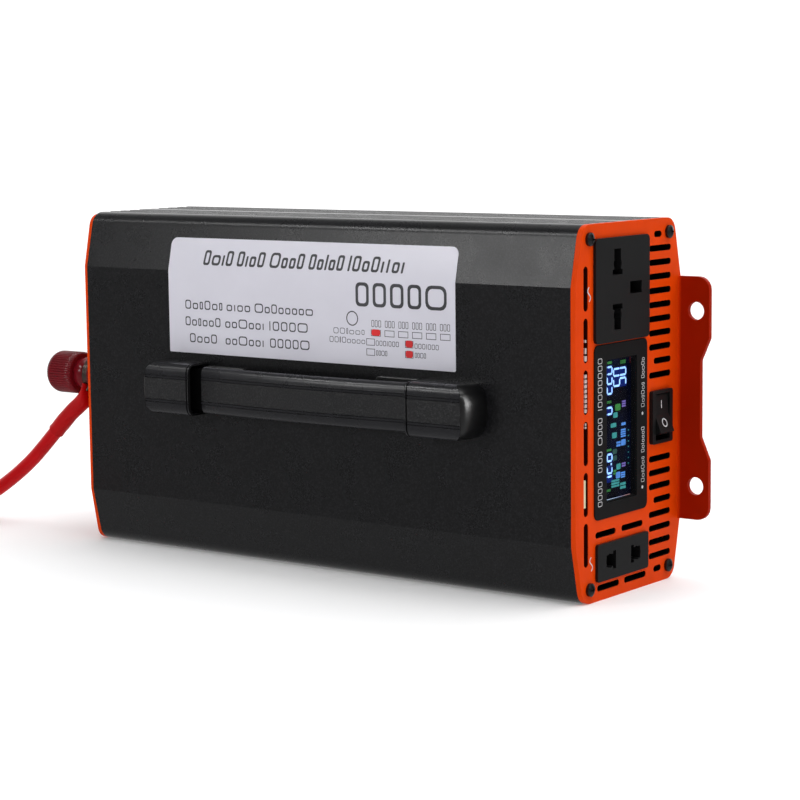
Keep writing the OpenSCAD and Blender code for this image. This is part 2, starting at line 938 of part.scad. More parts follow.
module transistor() {
    box([-7.8, 0, 0], [7.8, 20, 5]);
    for (x = [-5.4, 0, 5.4]) box([x - 0.6, 20, 2.4], [x + 0.6, 28, 3]);
}

module power_transistors() {
    color(black)
    top_and_bottom()
        for (i = [0:7]) translate([-75 + 20 * i, board_y - 28, rib_wall_t + 6]) transistor();
}

transformer_x = -38;
transformer_z = [42, 98];
core_t = 14;
winding_half = [14.5, 16];

module at_transformers() {
    for (z = transformer_z) translate([transformer_x, board_y, z]) children();
}

// Ferrite cores with a window on each side of the middle leg
module transformer_cores() {
    color([0.25, 0.25, 0.27])
    at_transformers()
        difference() {
            box([-21, -34, -core_t / 2], [21, 0, core_t / 2]);
            for (side = [0, 1]) mirror([side, 0, 0]) box([6, -28, -core_t], [15, -6, core_t]);
        }
}

module transformer_windings() {
    color([0.85, 0.72, 0.20])
    at_transformers()
        difference() {
            box([-winding_half[0], -27.8, -winding_half[1]], [winding_half[0], -6.2, winding_half[1]]);
            box([-6, -30, -core_t / 2], [6, 0, core_t / 2]);
        }
}

module input_capacitors() {
    color([0.12, 0.18, 0.35])
    for (z = [24, 44, 96, 116]) rod_y([-76, board_y - 32, z], 8, 32);
}

module bus_capacitors() {
    color([0.15, 0.15, 0.17])
    for (z = transformer_z) rod_y([8, board_y - 40, z], 12.5, 40);
}

choke_x = 46;

module output_choke_core() {
    color([0.75, 0.70, 0.20])
    translate([choke_x, board_y - 1.5, transformer_z[1]])
    rotate([90, 0, 0])
    difference() {
        cylinder(r = 18, h = 15);
        translate([0, 0, -1]) cylinder(r = 9, h = 17);
    }
}

module output_choke_winding() {
    color(copper)
    translate([choke_x, board_y, transformer_z[1]])
    rotate([90, 0, 0])
    difference() {
        cylinder(r = 19.5, h = 18);
        translate([0, 0, -1]) cylinder(r = 7.5, h = 20);
        difference() {
            translate([0, 0, 1.5]) cylinder(r = 18, h = 15);
            translate([0, 0, 1]) cylinder(r = 9, h = 16);
        }
        translate([0, -5, -1]) cube([30, 10, 20]);
    }
}

module blade_fuses() {
    color([0.90, 0.45, 0.10])
    for (i = [0:3]) translate([-83, board_y - 13, 57 + 8 * i]) cube([19, 13, 5]);
}

module control_board() {
    color(green) {
        box([26, board_y - 30, 41], [66, board_y, 42.6]);
        box([38, board_y - 20, 42.6], [54, board_y - 10, 44.6]);
    }
}

// Leads from the board to the outlets, switch, display and fans
module wiring_loom() {
    lead_r = 1;
    outlet_back = half_l - outlet_deep;
    tab_end = half_l - 27;
    display_back = inner_x - 10;
    fan_back = fan_t - inner_x;
    routes = [[[80, 26, 106], [80, 18, 106], [90, -2, 107], [outlet_back - 4, -4, 108], [outlet_back, -4, 108]],
              [[80, 26, 122], [80, 18, 122], [90, -2, 122], [outlet_back - 4, -4, 122], [outlet_back, -4, 122]],
              [[80, 26, 36], [80, 18, 36], [90, 0, 20], [outlet_back - 4, -4, 16], [outlet_back, -4, 16]],
              [[80, 26, 30], [80, 18, 30], [90, 6, 16], [outlet_back - 4, 2, 13], [outlet_back, 2, 13]],
              [[80, 26, 74], [80, 22, 74], [88, 21.8, 71.5], [tab_end - 3, 21.8, 70.9], [tab_end, 21.8, 70.9]],
              [[80, 26, 64], [80, 22, 64], [88, 21.8, 64.4], [tab_end - 3, 21.8, 64.4], [tab_end, 21.8, 64.4]],
              [[80, 26, 50], [80, 18, 50], [92, 0, 52], [display_back - 5, -4, 54], [display_back, -4, 54]],
              [[-88, 26, 104], [-88, 21, 104], [-92, 14, 108], [fan_back + 4, 12, 124], [fan_back, 12, 124]],
              [[-88, 26, 36], [-88, 21, 36], [-92, 14, 32], [fan_back + 4, 12, 16], [fan_back, 12, 16]]];
    color([0.75, 0.15, 0.12])
    for (route = routes) tube(route, same(route, lead_r), 6, [0, 0, 1]);
}

front_shell();
back_shell();
ac_end_panel();
dc_end_panel();
ac_panel_screws();
dc_panel_screws();
handle_end_left();
handle_end_right();
handle_screws();
handle_grip();
strap_end_left();
strap_end_right();
rating_label();
display_overlay();
lcd_glass();
lcd_module();
switch_housing();
switch_rocker();
switch_tabs();
main_outlet_body();
main_outlet_contacts();
small_outlet_body();
small_outlet_contacts();
red_terminal_base();
red_terminal_stud();
red_terminal_washer();
red_terminal_knob();
black_terminal_base();
black_terminal_stud();
black_terminal_washer();
black_terminal_knob();
terminal_nuts();
bus_straps();
red_cable_lug();
red_cable_sleeve();
red_cable_lead();
red_cable_coil();
red_cable_tail();
far_cable_sleeve();
far_cable_lug();
fan_frame_upper();
fan_frame_lower();
fan_rotor_upper();
fan_rotor_lower();
fan_guards();
fan_screws();
main_board();
board_standoffs();
board_screws();
heat_sink_bars();
power_transistors();
transformer_cores();
transformer_windings();
input_capacitors();
bus_capacitors();
output_choke_core();
output_choke_winding();
blade_fuses();
control_board();
wiring_loom();
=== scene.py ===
import json
import math

import bmesh
import bpy
from mathutils import Matrix, Vector


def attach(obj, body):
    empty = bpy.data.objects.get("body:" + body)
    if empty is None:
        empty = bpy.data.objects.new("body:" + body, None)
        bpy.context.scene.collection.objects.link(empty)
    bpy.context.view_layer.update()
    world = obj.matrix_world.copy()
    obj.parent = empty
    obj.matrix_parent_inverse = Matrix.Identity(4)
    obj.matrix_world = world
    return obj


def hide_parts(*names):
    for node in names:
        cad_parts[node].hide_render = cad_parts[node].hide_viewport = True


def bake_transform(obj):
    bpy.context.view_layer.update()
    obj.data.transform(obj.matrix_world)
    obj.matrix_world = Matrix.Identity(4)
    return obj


# Looks of a power inverter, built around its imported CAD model. The CAD frame is kept: X runs along
# the casing with the mains outlets at +X, the handle faces -Y and the floor is Z = 0. Lengths in
# this script are in millimetres, and mm() turns them into the frame's metres.

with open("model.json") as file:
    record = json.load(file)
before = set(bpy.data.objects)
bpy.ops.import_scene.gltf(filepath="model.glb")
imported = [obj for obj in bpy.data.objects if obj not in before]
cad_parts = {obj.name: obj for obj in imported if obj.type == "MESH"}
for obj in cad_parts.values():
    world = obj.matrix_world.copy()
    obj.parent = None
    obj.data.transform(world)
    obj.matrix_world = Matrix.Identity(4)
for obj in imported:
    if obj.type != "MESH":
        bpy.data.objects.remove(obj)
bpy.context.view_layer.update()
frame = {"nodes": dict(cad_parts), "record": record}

HALF_L = 123.0        # end panels' outer faces
HALF_D = 37.5         # handle side and mounting side
HEIGHT = 140.0
SHOULDER_H = 22.5
SHOULDER_IN = 5.0
MID_Z = 70.0


def mm(x, y, z):
    return Vector((x, y, z)) * 0.001


# ---- Camera ----


def add_camera():
    data = bpy.data.cameras.new("camera")
    data.sensor_width = 36
    data.lens = 104.87
    data.clip_end = 100
    camera = bpy.data.objects.new("camera", data)
    bpy.context.scene.collection.objects.link(camera)
    place = Vector((0.57535, -0.74378, 0.18458))
    target = Vector((0.01531, 0, 0.06567))
    turn = (target - place).to_track_quat("-Z", "Y").to_matrix()
    roll = Matrix.Rotation(math.radians(-0.665), 3, "Z")
    camera.matrix_world = Matrix.Translation(place) @ (turn @ roll).to_4x4()
    bpy.context.scene.camera = camera


add_camera()

# ---- Materials ----


class Nodes:
    """A material's node tree, with short ways to add what the materials here need."""

    def __init__(self, name):
        self.material = bpy.data.materials.new(name)
        self.material.use_nodes = True
        self.tree = self.material.node_tree
        self.shader = self.tree.nodes["Principled BSDF"]

    def add(self, kind, **values):
        node = self.tree.nodes.new(kind)
        for key, value in values.items():
            if key in node.inputs:
                node.inputs[key].default_value = value
            else:
                setattr(node, key, value)
        return node

    def link(self, source, target):
        self.tree.links.new(source, target)

    def place(self, stretch=(1, 1, 1)):
        """The piece's own coordinates, in millimetres, stretched along each axis."""
        mapping = self.add("ShaderNodeMapping")
        mapping.inputs["Scale"].default_value = [1000 * s for s in stretch]
        self.link(self.add("ShaderNodeTexCoord").outputs["Object"], mapping.inputs["Vector"])
        return mapping.outputs["Vector"]

    def noise(self, grain, detail=3.0, stretch=(1, 1, 1), rough=0.5):
        """Noise whose blobs are about grain millimetres across."""
        node = self.add("ShaderNodeTexNoise", Scale=1 / grain, Detail=detail, Roughness=rough)
        self.link(self.place(stretch), node.inputs["Vector"])
        return node.outputs["Fac"]

    def spread(self, value, low, high, start=0.3, end=0.7):
        """value, from start to end, taken to low to high."""
        node = self.add("ShaderNodeMapRange")
        for key, number in (("From Min", start), ("From Max", end), ("To Min", low), ("To Max", high)):
            node.inputs[key].default_value = number
        self.link(value, node.inputs["Value"])
        return node.outputs["Result"]

    def colours(self, value, stops):
        ramp = self.add("ShaderNodeValToRGB").color_ramp
        while len(ramp.elements) < len(stops):
            ramp.elements.new(0.5)
        for element, (place, colour) in zip(ramp.elements, stops):
            element.position = place
            element.color = (*colour, 1)
        node = self.tree.nodes[-1]
        self.link(value, node.inputs["Fac"])
        return node.outputs["Color"]

    def set(self, **values):
        for key, value in values.items():
            self.shader.inputs[key.replace("_", " ")].default_value = value

    def bump(self, value, depth, strength=1.0):
        """Relief of depth millimetres."""
        node = self.add("ShaderNodeBump", Strength=strength, Distance=depth * 0.001)
        self.link(value, node.inputs["Height"])
        last = self.shader.inputs["Normal"]
        if last.is_linked:
            self.link(last.links[0].from_socket, node.inputs["Normal"])
        self.link(node.outputs["Normal"], last)


def shade(colour, factor):
    return tuple(min(1.0, c * factor) for c in colour)


def finish_of(name, colour, rough, grain=0.5, depth=0.02, vary=0.12, rough_vary=0.06,
              blotch=14.0, specular=0.5, metallic=0.0, stretch=(1, 1, 1), coat=0.0):
    """A painted, moulded or metal surface: fine relief, and slow drifts of colour and gloss."""
    nodes = Nodes(name)
    slow = nodes.noise(blotch, detail=4)
    fine = nodes.noise(grain, detail=2, stretch=stretch)
    tint = nodes.colours(slow, [(0.3, shade(colour, 1 - vary)), (0.7, shade(colour, 1 + vary))])
    nodes.link(tint, nodes.shader.inputs["Base Color"])
    gloss = nodes.spread(slow, rough - rough_vary, rough + rough_vary)
    nodes.link(gloss, nodes.shader.inputs["Roughness"])
    nodes.bump(fine, depth)
    nodes.set(Specular_IOR_Level=specular, Metallic=metallic)
    if coat:
        nodes.set(Coat_Weight=coat, Coat_Roughness=0.12)
    return nodes


def casing_black():
    """Satin black coat with a fine sparkle in its grain."""
    nodes = finish_of("casing_black", (0.006, 0.006, 0.0068), 0.28, grain=0.5, depth=0.022,
                      rough_vary=0.02, specular=0.26)
    sparkle = nodes.noise(0.6, detail=2)
    dust = nodes.colours(sparkle, [(0.3, (0.004, 0.004, 0.0048)), (0.5, (0.0078, 0.0078, 0.0088)),
                                   (0.72, (0.017, 0.017, 0.019))])
    nodes.link(dust, nodes.shader.inputs["Base Color"])
    return nodes.material


def panel_orange():
    """Powder coat with a slight orange peel, and a darker, redder colour on the ears past the panel's
    face, which is painted shade."""
    nodes = finish_of("panel_orange", (0.76, 0.056, 0.001), 0.40, grain=0.9, depth=0.02, vary=0.04,
                      specular=0.05)
    split = nodes.add("ShaderNodeSeparateXYZ")
    nodes.link(nodes.place(), split.inputs["Vector"])
    # painted shade: the colour turns darker and redder on the ears, past the panel's face
    past = nodes.spread(split.outputs["X"], 0.0, 1.0, HALF_L + 0.3, HALF_L + 1.6)
    mix = nodes.add("ShaderNodeMix", data_type="RGBA")
    tint = nodes.shader.inputs["Base Color"].links[0].from_socket
    nodes.link(past, mix.inputs["Factor"])
    nodes.link(tint, mix.inputs[6])
    mix.inputs[7].default_value = (0.36, 0.013, 0.0003, 1)
    nodes.link(mix.outputs[2], nodes.shader.inputs["Base Color"])
    nodes.bump(nodes.noise(3.5, detail=1), 0.03)
    return nodes.material


def brushed(name, colour, rough, stretch):
    """Bare metal with fine scratches along its long direction."""
    nodes = finish_of(name, colour, rough, grain=0.35, depth=0.01, vary=0.08, rough_vary=0.08,
                      metallic=1.0, stretch=stretch)
    scratch = nodes.noise(0.5, detail=4, stretch=stretch)
    nodes.bump(scratch, 0.006)
    return nodes.material


def handle_band():
    """The grained band down the middle of the handle."""
    nodes = finish_of("handle_band", (0.0115, 0.0115, 0.0125), 0.42, grain=0.6, depth=0.16,
                      specular=0.4)
    grain = nodes.colours(nodes.noise(0.6, detail=2), [(0.3, (0.004, 0.004, 0.006)),
                                                       (0.5, (0.006, 0.006, 0.007)),
                                                       (0.7, (0.024, 0.024, 0.026))])
    nodes.link(grain, nodes.shader.inputs["Base Color"])
    return nodes.material


def display_screen():
    """A dark lit screen: nearly black, with a slow blue haze."""
    nodes = finish_of("display_screen", (0.0012, 0.0014, 0.004), 0.35, grain=1.2, depth=0.002,
                      specular=0.05)
    haze = nodes.colours(nodes.noise(9, detail=2), [(0.42, (0.0, 0.0, 0.002)),
                                                    (0.68, (0.0008, 0.003, 0.018))])
    nodes.link(haze, nodes.shader.inputs["Emission Color"])
    nodes.set(Emission_Strength=1.0)
    return nodes.material


def lit(name, colour, strength):
    """A lit segment, a little uneven across its face."""
    nodes = Nodes(name)
    uneven = nodes.noise(1.6, detail=2)
    glow = nodes.colours(uneven, [(0.3, shade(colour, 0.7)), (0.7, colour)])
    nodes.link(glow, nodes.shader.inputs["Emission Color"])
    nodes.link(glow, nodes.shader.inputs["Base Color"])
    nodes.set(Emission_Strength=strength, Roughness=0.5, Specular_IOR_Level=0.1)
    return nodes.material


def display_glass():
    """Thin clear cover with faint smears."""
    nodes = Nodes("display_glass")
    smear = nodes.noise(6, detail=3)
    nodes.link(nodes.spread(smear, 0.06, 0.2), nodes.shader.inputs["Roughness"])
    nodes.link(nodes.colours(smear, [(0.3, (0.002, 0.003, 0.006)), (0.7, (0.004, 0.005, 0.01))]),
               nodes.shader.inputs["Base Color"])
    nodes.set(Alpha=0.10, Specular_IOR_Level=0.15)
    return nodes.material


def label_film():
    """Satin white film, slightly lavender, that follows small dents of the casing."""
    nodes = finish_of("label_film", (0.71, 0.70, 0.78), 0.36, grain=0.8, depth=0.004, vary=0.015,
                      specular=0.4)
    nodes.bump(nodes.noise(22, detail=1), 0.05)
    return nodes.material


def circuit_green():
    """Solder mask with lighter copper tracks showing through it."""
    nodes = finish_of("circuit_green", (0.010, 0.085, 0.035), 0.33, grain=0.6, depth=0.01)
    tracks = nodes.add("ShaderNodeTexBrick", Scale=0.22, offset=0.4)
    nodes.link(nodes.place(), tracks.inputs["Vector"])
    tracks.inputs["Color1"].default_value = (0.008, 0.075, 0.030, 1)
    tracks.inputs["Color2"].default_value = (0.014, 0.110, 0.045, 1)
    tracks.inputs["Mortar"].default_value = (0.05, 0.20, 0.07, 1)
    nodes.link(tracks.outputs["Color"], nodes.shader.inputs["Base Color"])
    return nodes.material


def wound(name, low, high, pitch, axis, metallic=0.0, rough=0.35):
    """Turns of wire or tape, pitch millimetres apart along an axis."""
    nodes = finish_of(name, high, rough, metallic=metallic)
    wave = nodes.add("ShaderNodeTexWave", Scale=1 / (pitch * 0.955), Distortion=0.6,
                     bands_direction=axis)
    wave.inputs["Detail Scale"].default_value = 1.0
    nodes.link(nodes.place((0.3, 0.3, 0.3)), wave.inputs["Vector"])
    nodes.link(nodes.colours(wave.outputs["Fac"], [(0.1, low), (0.6, high)]),
               nodes.shader.inputs["Base Color"])
    nodes.bump(wave.outputs["Fac"], 0.25)
    return nodes.material


ALONG = (0.12, 1, 1)   # scratches that run along X

MATERIALS = {
    "casing_black": casing_black(),
    "panel_orange": panel_orange(),
    "screw_black": finish_of("screw_black", (0.006, 0.006, 0.0065), 0.24, depth=0.01,
                             specular=0.4).material,
    "steel": brushed("steel", (0.40, 0.40, 0.42), 0.28, (1, 1, 0.15)),
    # a darkened, reddish copy of steel for the terminal washers and the red lug: painted shade
    "steel_painted_shade": brushed("steel_painted_shade", (0.11, 0.08, 0.07), 0.3, (1, 1, 0.15)),
    "brass": brushed("brass", (0.72, 0.50, 0.20), 0.30, ALONG),
    "copper": brushed("copper", (0.72, 0.33, 0.17), 0.32, ALONG),
    "handle_band": handle_band(),
    # near-black and very dark red that stand in for shade in openings, recesses and gaps: painted shade
    "painted_shade_black": finish_of("painted_shade_black", (0.0025, 0.0025, 0.0028), 0.7, specular=0.1).material,
    "painted_shade_red": finish_of("painted_shade_red", (0.040, 0.0012, 0.0005), 0.6, specular=0.1).material,
    # pale pinkish diffuse colour for the lit edges of heat-sink fins: a painted sheen
    "fin_painted_sheen": finish_of("fin_painted_sheen", (0.62, 0.50, 0.48), 0.5, specular=0.3).material,
    "bobbin_cream": finish_of("bobbin_cream", (0.74, 0.70, 0.46), 0.5, specular=0.3).material,
    "handle_gloss": finish_of("handle_gloss", (0.004, 0.004, 0.0045), 0.3, grain=2.5, depth=0.01,
                              rough_vary=0.03, specular=0.6).material,
    "handle_edge": finish_of("handle_edge", (0.010, 0.010, 0.0125), 0.28, grain=1.5, depth=0.012,
                             specular=0.35).material,
    "label_film": label_film(),
    "print_dark": finish_of("print_dark", (0.055, 0.055, 0.062), 0.5, vary=0.2, grain=0.3,
                            depth=0.003, specular=0.3).material,
    "print_red": finish_of("print_red", (0.72, 0.022, 0.025), 0.5, vary=0.15, grain=0.3,
                           depth=0.003, specular=0.3).material,
    "print_white": finish_of("print_white", (0.60, 0.60, 0.62), 0.5, vary=0.12, grain=0.25,
                             depth=0.003, specular=0.3).material,
    "display_black": finish_of("display_black", (0.008, 0.008, 0.0085), 0.45, grain=0.3, depth=0.006,
                               specular=0.1).material,
    "display_screen": display_screen(),
    "display_glass": display_glass(),
    "board_green": circuit_green(),
    "switch_black": finish_of("switch_black", (0.008, 0.008, 0.0085), 0.4, grain=0.3, depth=0.015,
                              specular=0.18).material,
    "outlet_black": finish_of("outlet_black", (0.008, 0.008, 0.0085), 0.36, grain=0.4, depth=0.012,
                              specular=0.2).material,
    "knob_maroon": finish_of("knob_maroon", (0.155, 0.005, 0.010), 0.2, grain=1.2, depth=0.02,
                             vary=0.2, specular=0.2, coat=0.04).material,
    "knob_black": finish_of("knob_black", (0.007, 0.007, 0.008), 0.28, grain=1.2, depth=0.02,
                            specular=0.4, coat=0.15).material,
    "cable_red": finish_of("cable_red", (0.52, 0.003, 0.006), 0.34, grain=2.0, depth=0.03, vary=0.08,
                           specular=0.11).material,
    "sleeve_red": finish_of("sleeve_red", (0.47, 0.002, 0.004), 0.42, grain=1.6, depth=0.08,
                            vary=0.1, specular=0.11).material,
    "fan_black": finish_of("fan_black", (0.009, 0.009, 0.0095), 0.42, grain=0.6, depth=0.02,
                           specular=0.3).material,
    "aluminium": brushed("aluminium", (0.66, 0.67, 0.69), 0.36, ALONG),
    "chip_black": finish_of("chip_black", (0.018, 0.018, 0.02), 0.55, grain=0.25,
                            depth=0.015).material,
    "ferrite": finish_of("ferrite", (0.035, 0.035, 0.038), 0.6, grain=0.5, depth=0.04,
                         vary=0.3).material,
    "tape_yellow": wound("tape_yellow", (0.45, 0.30, 0.02), (0.72, 0.52, 0.05), 1.2, "X"),
    "capacitor_sleeve": finish_of("capacitor_sleeve", (0.012, 0.020, 0.075), 0.3, grain=2.0,
                                  depth=0.02, coat=0.3).material,
    "core_paint": finish_of("core_paint", (0.34, 0.26, 0.03), 0.5, grain=0.7, depth=0.03,
                            vary=0.2).material,
    "winding_copper": wound("winding_copper", (0.20, 0.06, 0.02), (0.72, 0.30, 0.13), 1.0, "Z",
                            metallic=0.9, rough=0.3),
    "fuse_orange": finish_of("fuse_orange", (0.78, 0.17, 0.012), 0.28, grain=2.0, depth=0.01,
                             coat=0.4).material,
}

# ---- Mesh helpers ----


def as_object(name, bm, body, material, sharp=38):
    """A new piece from bm that rides on body, smooth but for edges sharper than sharp degrees."""
    mesh = bpy.data.meshes.new(name)
    bmesh.ops.recalc_face_normals(bm, faces=bm.faces)
    bm.to_mesh(mesh)
    bm.free()
    mesh.materials.append(MATERIALS[material])
    mesh.shade_smooth()
    mesh.set_sharp_from_angle(angle=math.radians(sharp))
    obj = bpy.data.objects.new(name, mesh)
    bpy.context.scene.collection.objects.link(obj)
    if body:
        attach(obj, body)
    return obj


def rounded(points, radii, steps=6):
    """A flat outline's points, with each corner rounded to its own radius."""
    out = []
    for i, (corner, radius) in enumerate(zip(points, radii)):
        corner = Vector(corner)
        if radius == 0:
            out.append(corner)
            continue
        before = (Vector(points[i - 1]) - corner).normalized()
        after = (Vector(points[(i + 1) % len(points)]) - corner).normalized()
        half = before.angle(after) / 2
        centre = corner + (before + after).normalized() * radius / math.sin(half)
        start = corner + before * radius / math.tan(half) - centre
        end = corner + after * radius / math.tan(half) - centre
        turn = start.angle_signed(end)
        for k in range(steps + 1):
            angle = -turn * k / steps
            spin = Matrix.Rotation(angle, 2)
            out.append(centre + spin @ start)
    return out


def rectangle(low, high, radius=0.0, steps=6):
    corners = [(low[0], low[1]), (high[0], low[1]), (high[0], high[1]), (low[0], high[1])]
    return rounded(corners, [radius] * 4, steps)


def ring_points(centre, radius, count=32):
    return [Vector((centre[0] + radius * math.cos(2 * math.pi * k / count),
                    centre[1] + radius * math.sin(2 * math.pi * k / count))) for k in range(count)]


def add_prism(bm, outline, placer, low, high, hole=None):
    """A prism over a flat outline, with an optional hole that has as many points. placer(a, b, lift)
    says where a point of the outline lies at a height above the surface."""
    loops = [[bm.verts.new(placer(p[0], p[1], lift)) for p in points]
             for points in ([outline] if hole is None else [outline, hole]) for lift in (low, high)]
    count = len(outline)

    def walls(a, b):
        for k in range(count):
            n = (k + 1) % count
            bm.faces.new((a[k], a[n], b[n], b[k]))

    walls(loops[0], loops[1])
    if hole is None:
        bm.faces.new(loops[0])
        bm.faces.new(loops[1])
    else:
        walls(loops[2], loops[3])
        walls(loops[0], loops[2])
        walls(loops[1], loops[3])


def add_loft(bm, rings, close_start=True, close_end=True):
    """Skin over rings of equally many points."""
    made = [[bm.verts.new(p) for p in ring] for ring in rings]
    count = len(rings[0])
    for a, b in zip(made, made[1:]):
        for k in range(count):
            n = (k + 1) % count
            bm.faces.new((a[k], a[n], b[n], b[k]))
    if close_start:
        bm.faces.new(made[0])
    if close_end:
        bm.faces.new(made[-1])


def finer(node, bevel, segments=2, material=None, sharp=38):
    """A piece that replaces a CAD node: the same shape with its edges eased."""
    bm = bmesh.new()
    bm.from_mesh(frame["nodes"][node].data)
    bmesh.ops.remove_doubles(bm, verts=bm.verts, dist=2e-6)
    bmesh.ops.dissolve_limit(bm, angle_limit=math.radians(0.6), verts=bm.verts, edges=bm.edges)
    obj = as_object(node + "_eased", bm, BODY_OF[node], material or SLOT_OF[node],
                    sharp)
    modifier = obj.modifiers.new("ease", "BEVEL")
    modifier.width = bevel * 0.001
    modifier.segments = segments
    modifier.limit_method = "ANGLE"
    modifier.angle_limit = math.radians(40)
    modifier.harden_normals = True
    even = obj.modifiers.new("even", "WEIGHTED_NORMAL")
    even.keep_sharp = True
    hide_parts(node)
    return obj


BODY_OF = {node: body for body, nodes in frame["record"]["behaviour"]["bodies"].items()
           for node in nodes}
SLOT_OF = {row["node"]: row["material_slot"] for row in frame["record"]["subparts"]}

# ---- Battery cable ----

SLEEVE_ROUTE = [(-135.25, -24.1, 64.4), (-135.4, -25.2, 61.6), (-136.4, -26.2, 58.2),
                (-138.9, -27.1, 55.6), (-142.5, -27.7, 52.6), (-147, -28, 48.4), (-151.7, -28, 44)]
LEAD_ROUTE = [(-151.7, -28, 44), (-159.2, -28, 37), (-167.4, -28, 29.8), (-177.5, -28, 22.4),
              (-188.6, -28, 15.4), (-199, -27.6, 9.8), (-207, -27.2, 6.2), (-214, -27, 4.2),
              (-222, -27, 3)]
COIL_CENTRE = (-222, -60)
TAIL_ROUTE = [(-222, -93, 9), (-214, -93, 8.3), (-206, -93, 6.2), (-198, -93, 4.4), (-191, -93, 4.1)]
FAR_SLEEVE_ROUTE = [(-191, -93, 4.1), (-183, -93, 4.1), (-174, -93, 4.1)]
CABLE_D = 6.0
COIL_R = 33.0
COIL_TURNS = 1.5


def smooth_route(points, parts):
    """A Catmull-Rom curve through points, with parts steps for each stretch."""
    points = [Vector(p) for p in points]
    ends = [points[0] * 2 - points[1], *points, points[-1] * 2 - points[-2]]
    out = []
    for a, b, c, d in zip(ends, ends[1:], ends[2:], ends[3:]):
        for k in range(parts):
            t = k / parts
            out.append(0.5 * ((2 * b) + (c - a) * t + (2 * a - 5 * b + 4 * c - d) * t * t
                              + (3 * b - 3 * c + d - a) * t ** 3))
    out.append(points[-1])
    return out


def coil_route():
    """One and a half turns: the first lies on the floor, the rest climbs onto it."""
    steps = 48
    out = []
    for k in range(1, steps):
        angle = 90 + 360 * COIL_TURNS * k / steps
        climb = min(1.0, max(0.0, (angle - 306) / 144))
        height = CABLE_D * (0.5 + climb * climb * (3 - 2 * climb))
        out.append((COIL_CENTRE[0] + COIL_R * math.cos(math.radians(angle)),
                    COIL_CENTRE[1] + COIL_R * math.sin(math.radians(angle)), height))
    return out


def add_tube(bm, route, radii, sides=24, caps=True, thin=None):
    """A round tube along a route in millimetres, with one radius or one for each point, and made
    thinner along X where thin says so."""
    route = [Vector(p) for p in route]
    if not hasattr(radii, "__len__"):
        radii = [radii] * len(route)
    rings = []
    side = None
    for i, point in enumerate(route):
        along = (route[min(i + 1, len(route) - 1)] - route[max(i - 1, 0)]).normalized()
        if side is None:
            side = along.cross(Vector((0, 0, 1)))
            side = side if side.length > 0.1 else along.cross(Vector((0, 1, 0)))
        side = (side - along * side.dot(along)).normalized()
        other = along.cross(side)
        keep = Vector((thin[i] if thin else 1, 1, 1))
        rings.append([mm(*(point + keep * radii[i] * (side * math.cos(2 * math.pi * k / sides)
                                                      + other * math.sin(2 * math.pi * k / sides))))
                      for k in range(sides)])
    add_loft(bm, rings, caps, caps)


def add_sleeve(name, route, cable_at_end, node):
    """A shrunk sleeve: flat over the lug's neck, wavy along its length, and flared a little at its
    cable end."""
    path = smooth_route(route, 10)
    last = len(path) - 1
    radii = []
    thin = []
    for i in range(last + 1):
        share = i / last if cable_at_end else 1 - i / last
        waist = 0.06 * math.sin(9 * share) + 0.04 * math.sin(23 * share + 1)
        flare = 0.16 * max(0.0, (share - 0.95) / 0.05)
        radii.append(3.72 - 0.3 * share + waist + flare)
        flat = min(1.0, max(0.0, share - 0.08) / 0.3)
        thin.append(0.38 + 0.62 * flat * flat * (3 - 2 * flat) if cable_at_end else 1)
    bm = bmesh.new()
    add_tube(bm, path, radii, thin=thin)
    sleeve = as_object(name, bm, "housing", "sleeve_red", sharp=50)
    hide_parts(node)
    return sleeve


def add_cable():
    route = (smooth_route(LEAD_ROUTE, 3) + coil_route() + smooth_route(TAIL_ROUTE, 3))
    route = [Vector(p) for p in route]
    bm = bmesh.new()
    add_tube(bm, route, CABLE_D / 2)
    cable = as_object("battery_cable", bm, "housing", "cable_red", sharp=60)
    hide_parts("red_cable_lead", "red_cable_coil", "red_cable_tail")
    near = add_sleeve("cable_sleeve", SLEEVE_ROUTE, True, "red_cable_sleeve")
    far = add_sleeve("far_sleeve", FAR_SLEEVE_ROUTE, False, "far_cable_sleeve")


add_cable()

# ---- Casing ----

SHELL_SHARP = 11       # between the steps of the shells' round corners and their shallow bends

finer("front_shell", 0.35, segments=3, sharp=SHELL_SHARP)
finer("back_shell", 0.35, segments=3, sharp=SHELL_SHARP)
PANEL_SKIN = 0.25      # depth of the orange in the end panels' openings; deeper, their walls carry painted shade
SIDE_VENT_Y = -30.5    # middle of the column of tall vents nearest the handle side


def add_end_panel(node, side):
    """An end panel whose openings' walls are painted near-black behind a thin orange skin, and very dark
    red in one column of vents: painted shade.
    """
    panel = finer(node, 0.3)
    bm = bmesh.new()
    bm.from_mesh(panel.data)
    bmesh.ops.bisect_plane(bm, geom=bm.verts[:] + bm.edges[:] + bm.faces[:],
                           plane_co=mm(side * (HALF_L - PANEL_SKIN), 0, 0), plane_no=(1, 0, 0))
    panel.data.materials.append(MATERIALS["painted_shade_black"])
    panel.data.materials.append(MATERIALS["painted_shade_red"])
    for face in bm.faces:
        place = face.calc_center_median() * 1000
        inside = abs(place.y) < HALF_D - 4.5 and abs(place.z - MID_Z) < HEIGHT / 2 - 2.5
        # painted shade: past the skin, the walls of the openings are near-black, and very dark red in one
        # column
        if side * place.x < HALF_L - PANEL_SKIN and inside:
            face.material_index = 2 if side * place.y < SIDE_VENT_Y + 2 else 1
    for vert in bm.verts:
        if side < 0:                   # its top and front edges hide behind the casing
            vert.co.z -= 0.0008 * max(0.0, vert.co.z / 0.020 - 6.0)
            vert.co.y += 0.0007 * max(0.0, (-vert.co.y * 1000 - HALF_D + 6.0) / 6.0)
    bm.to_mesh(panel.data)
    bm.free()


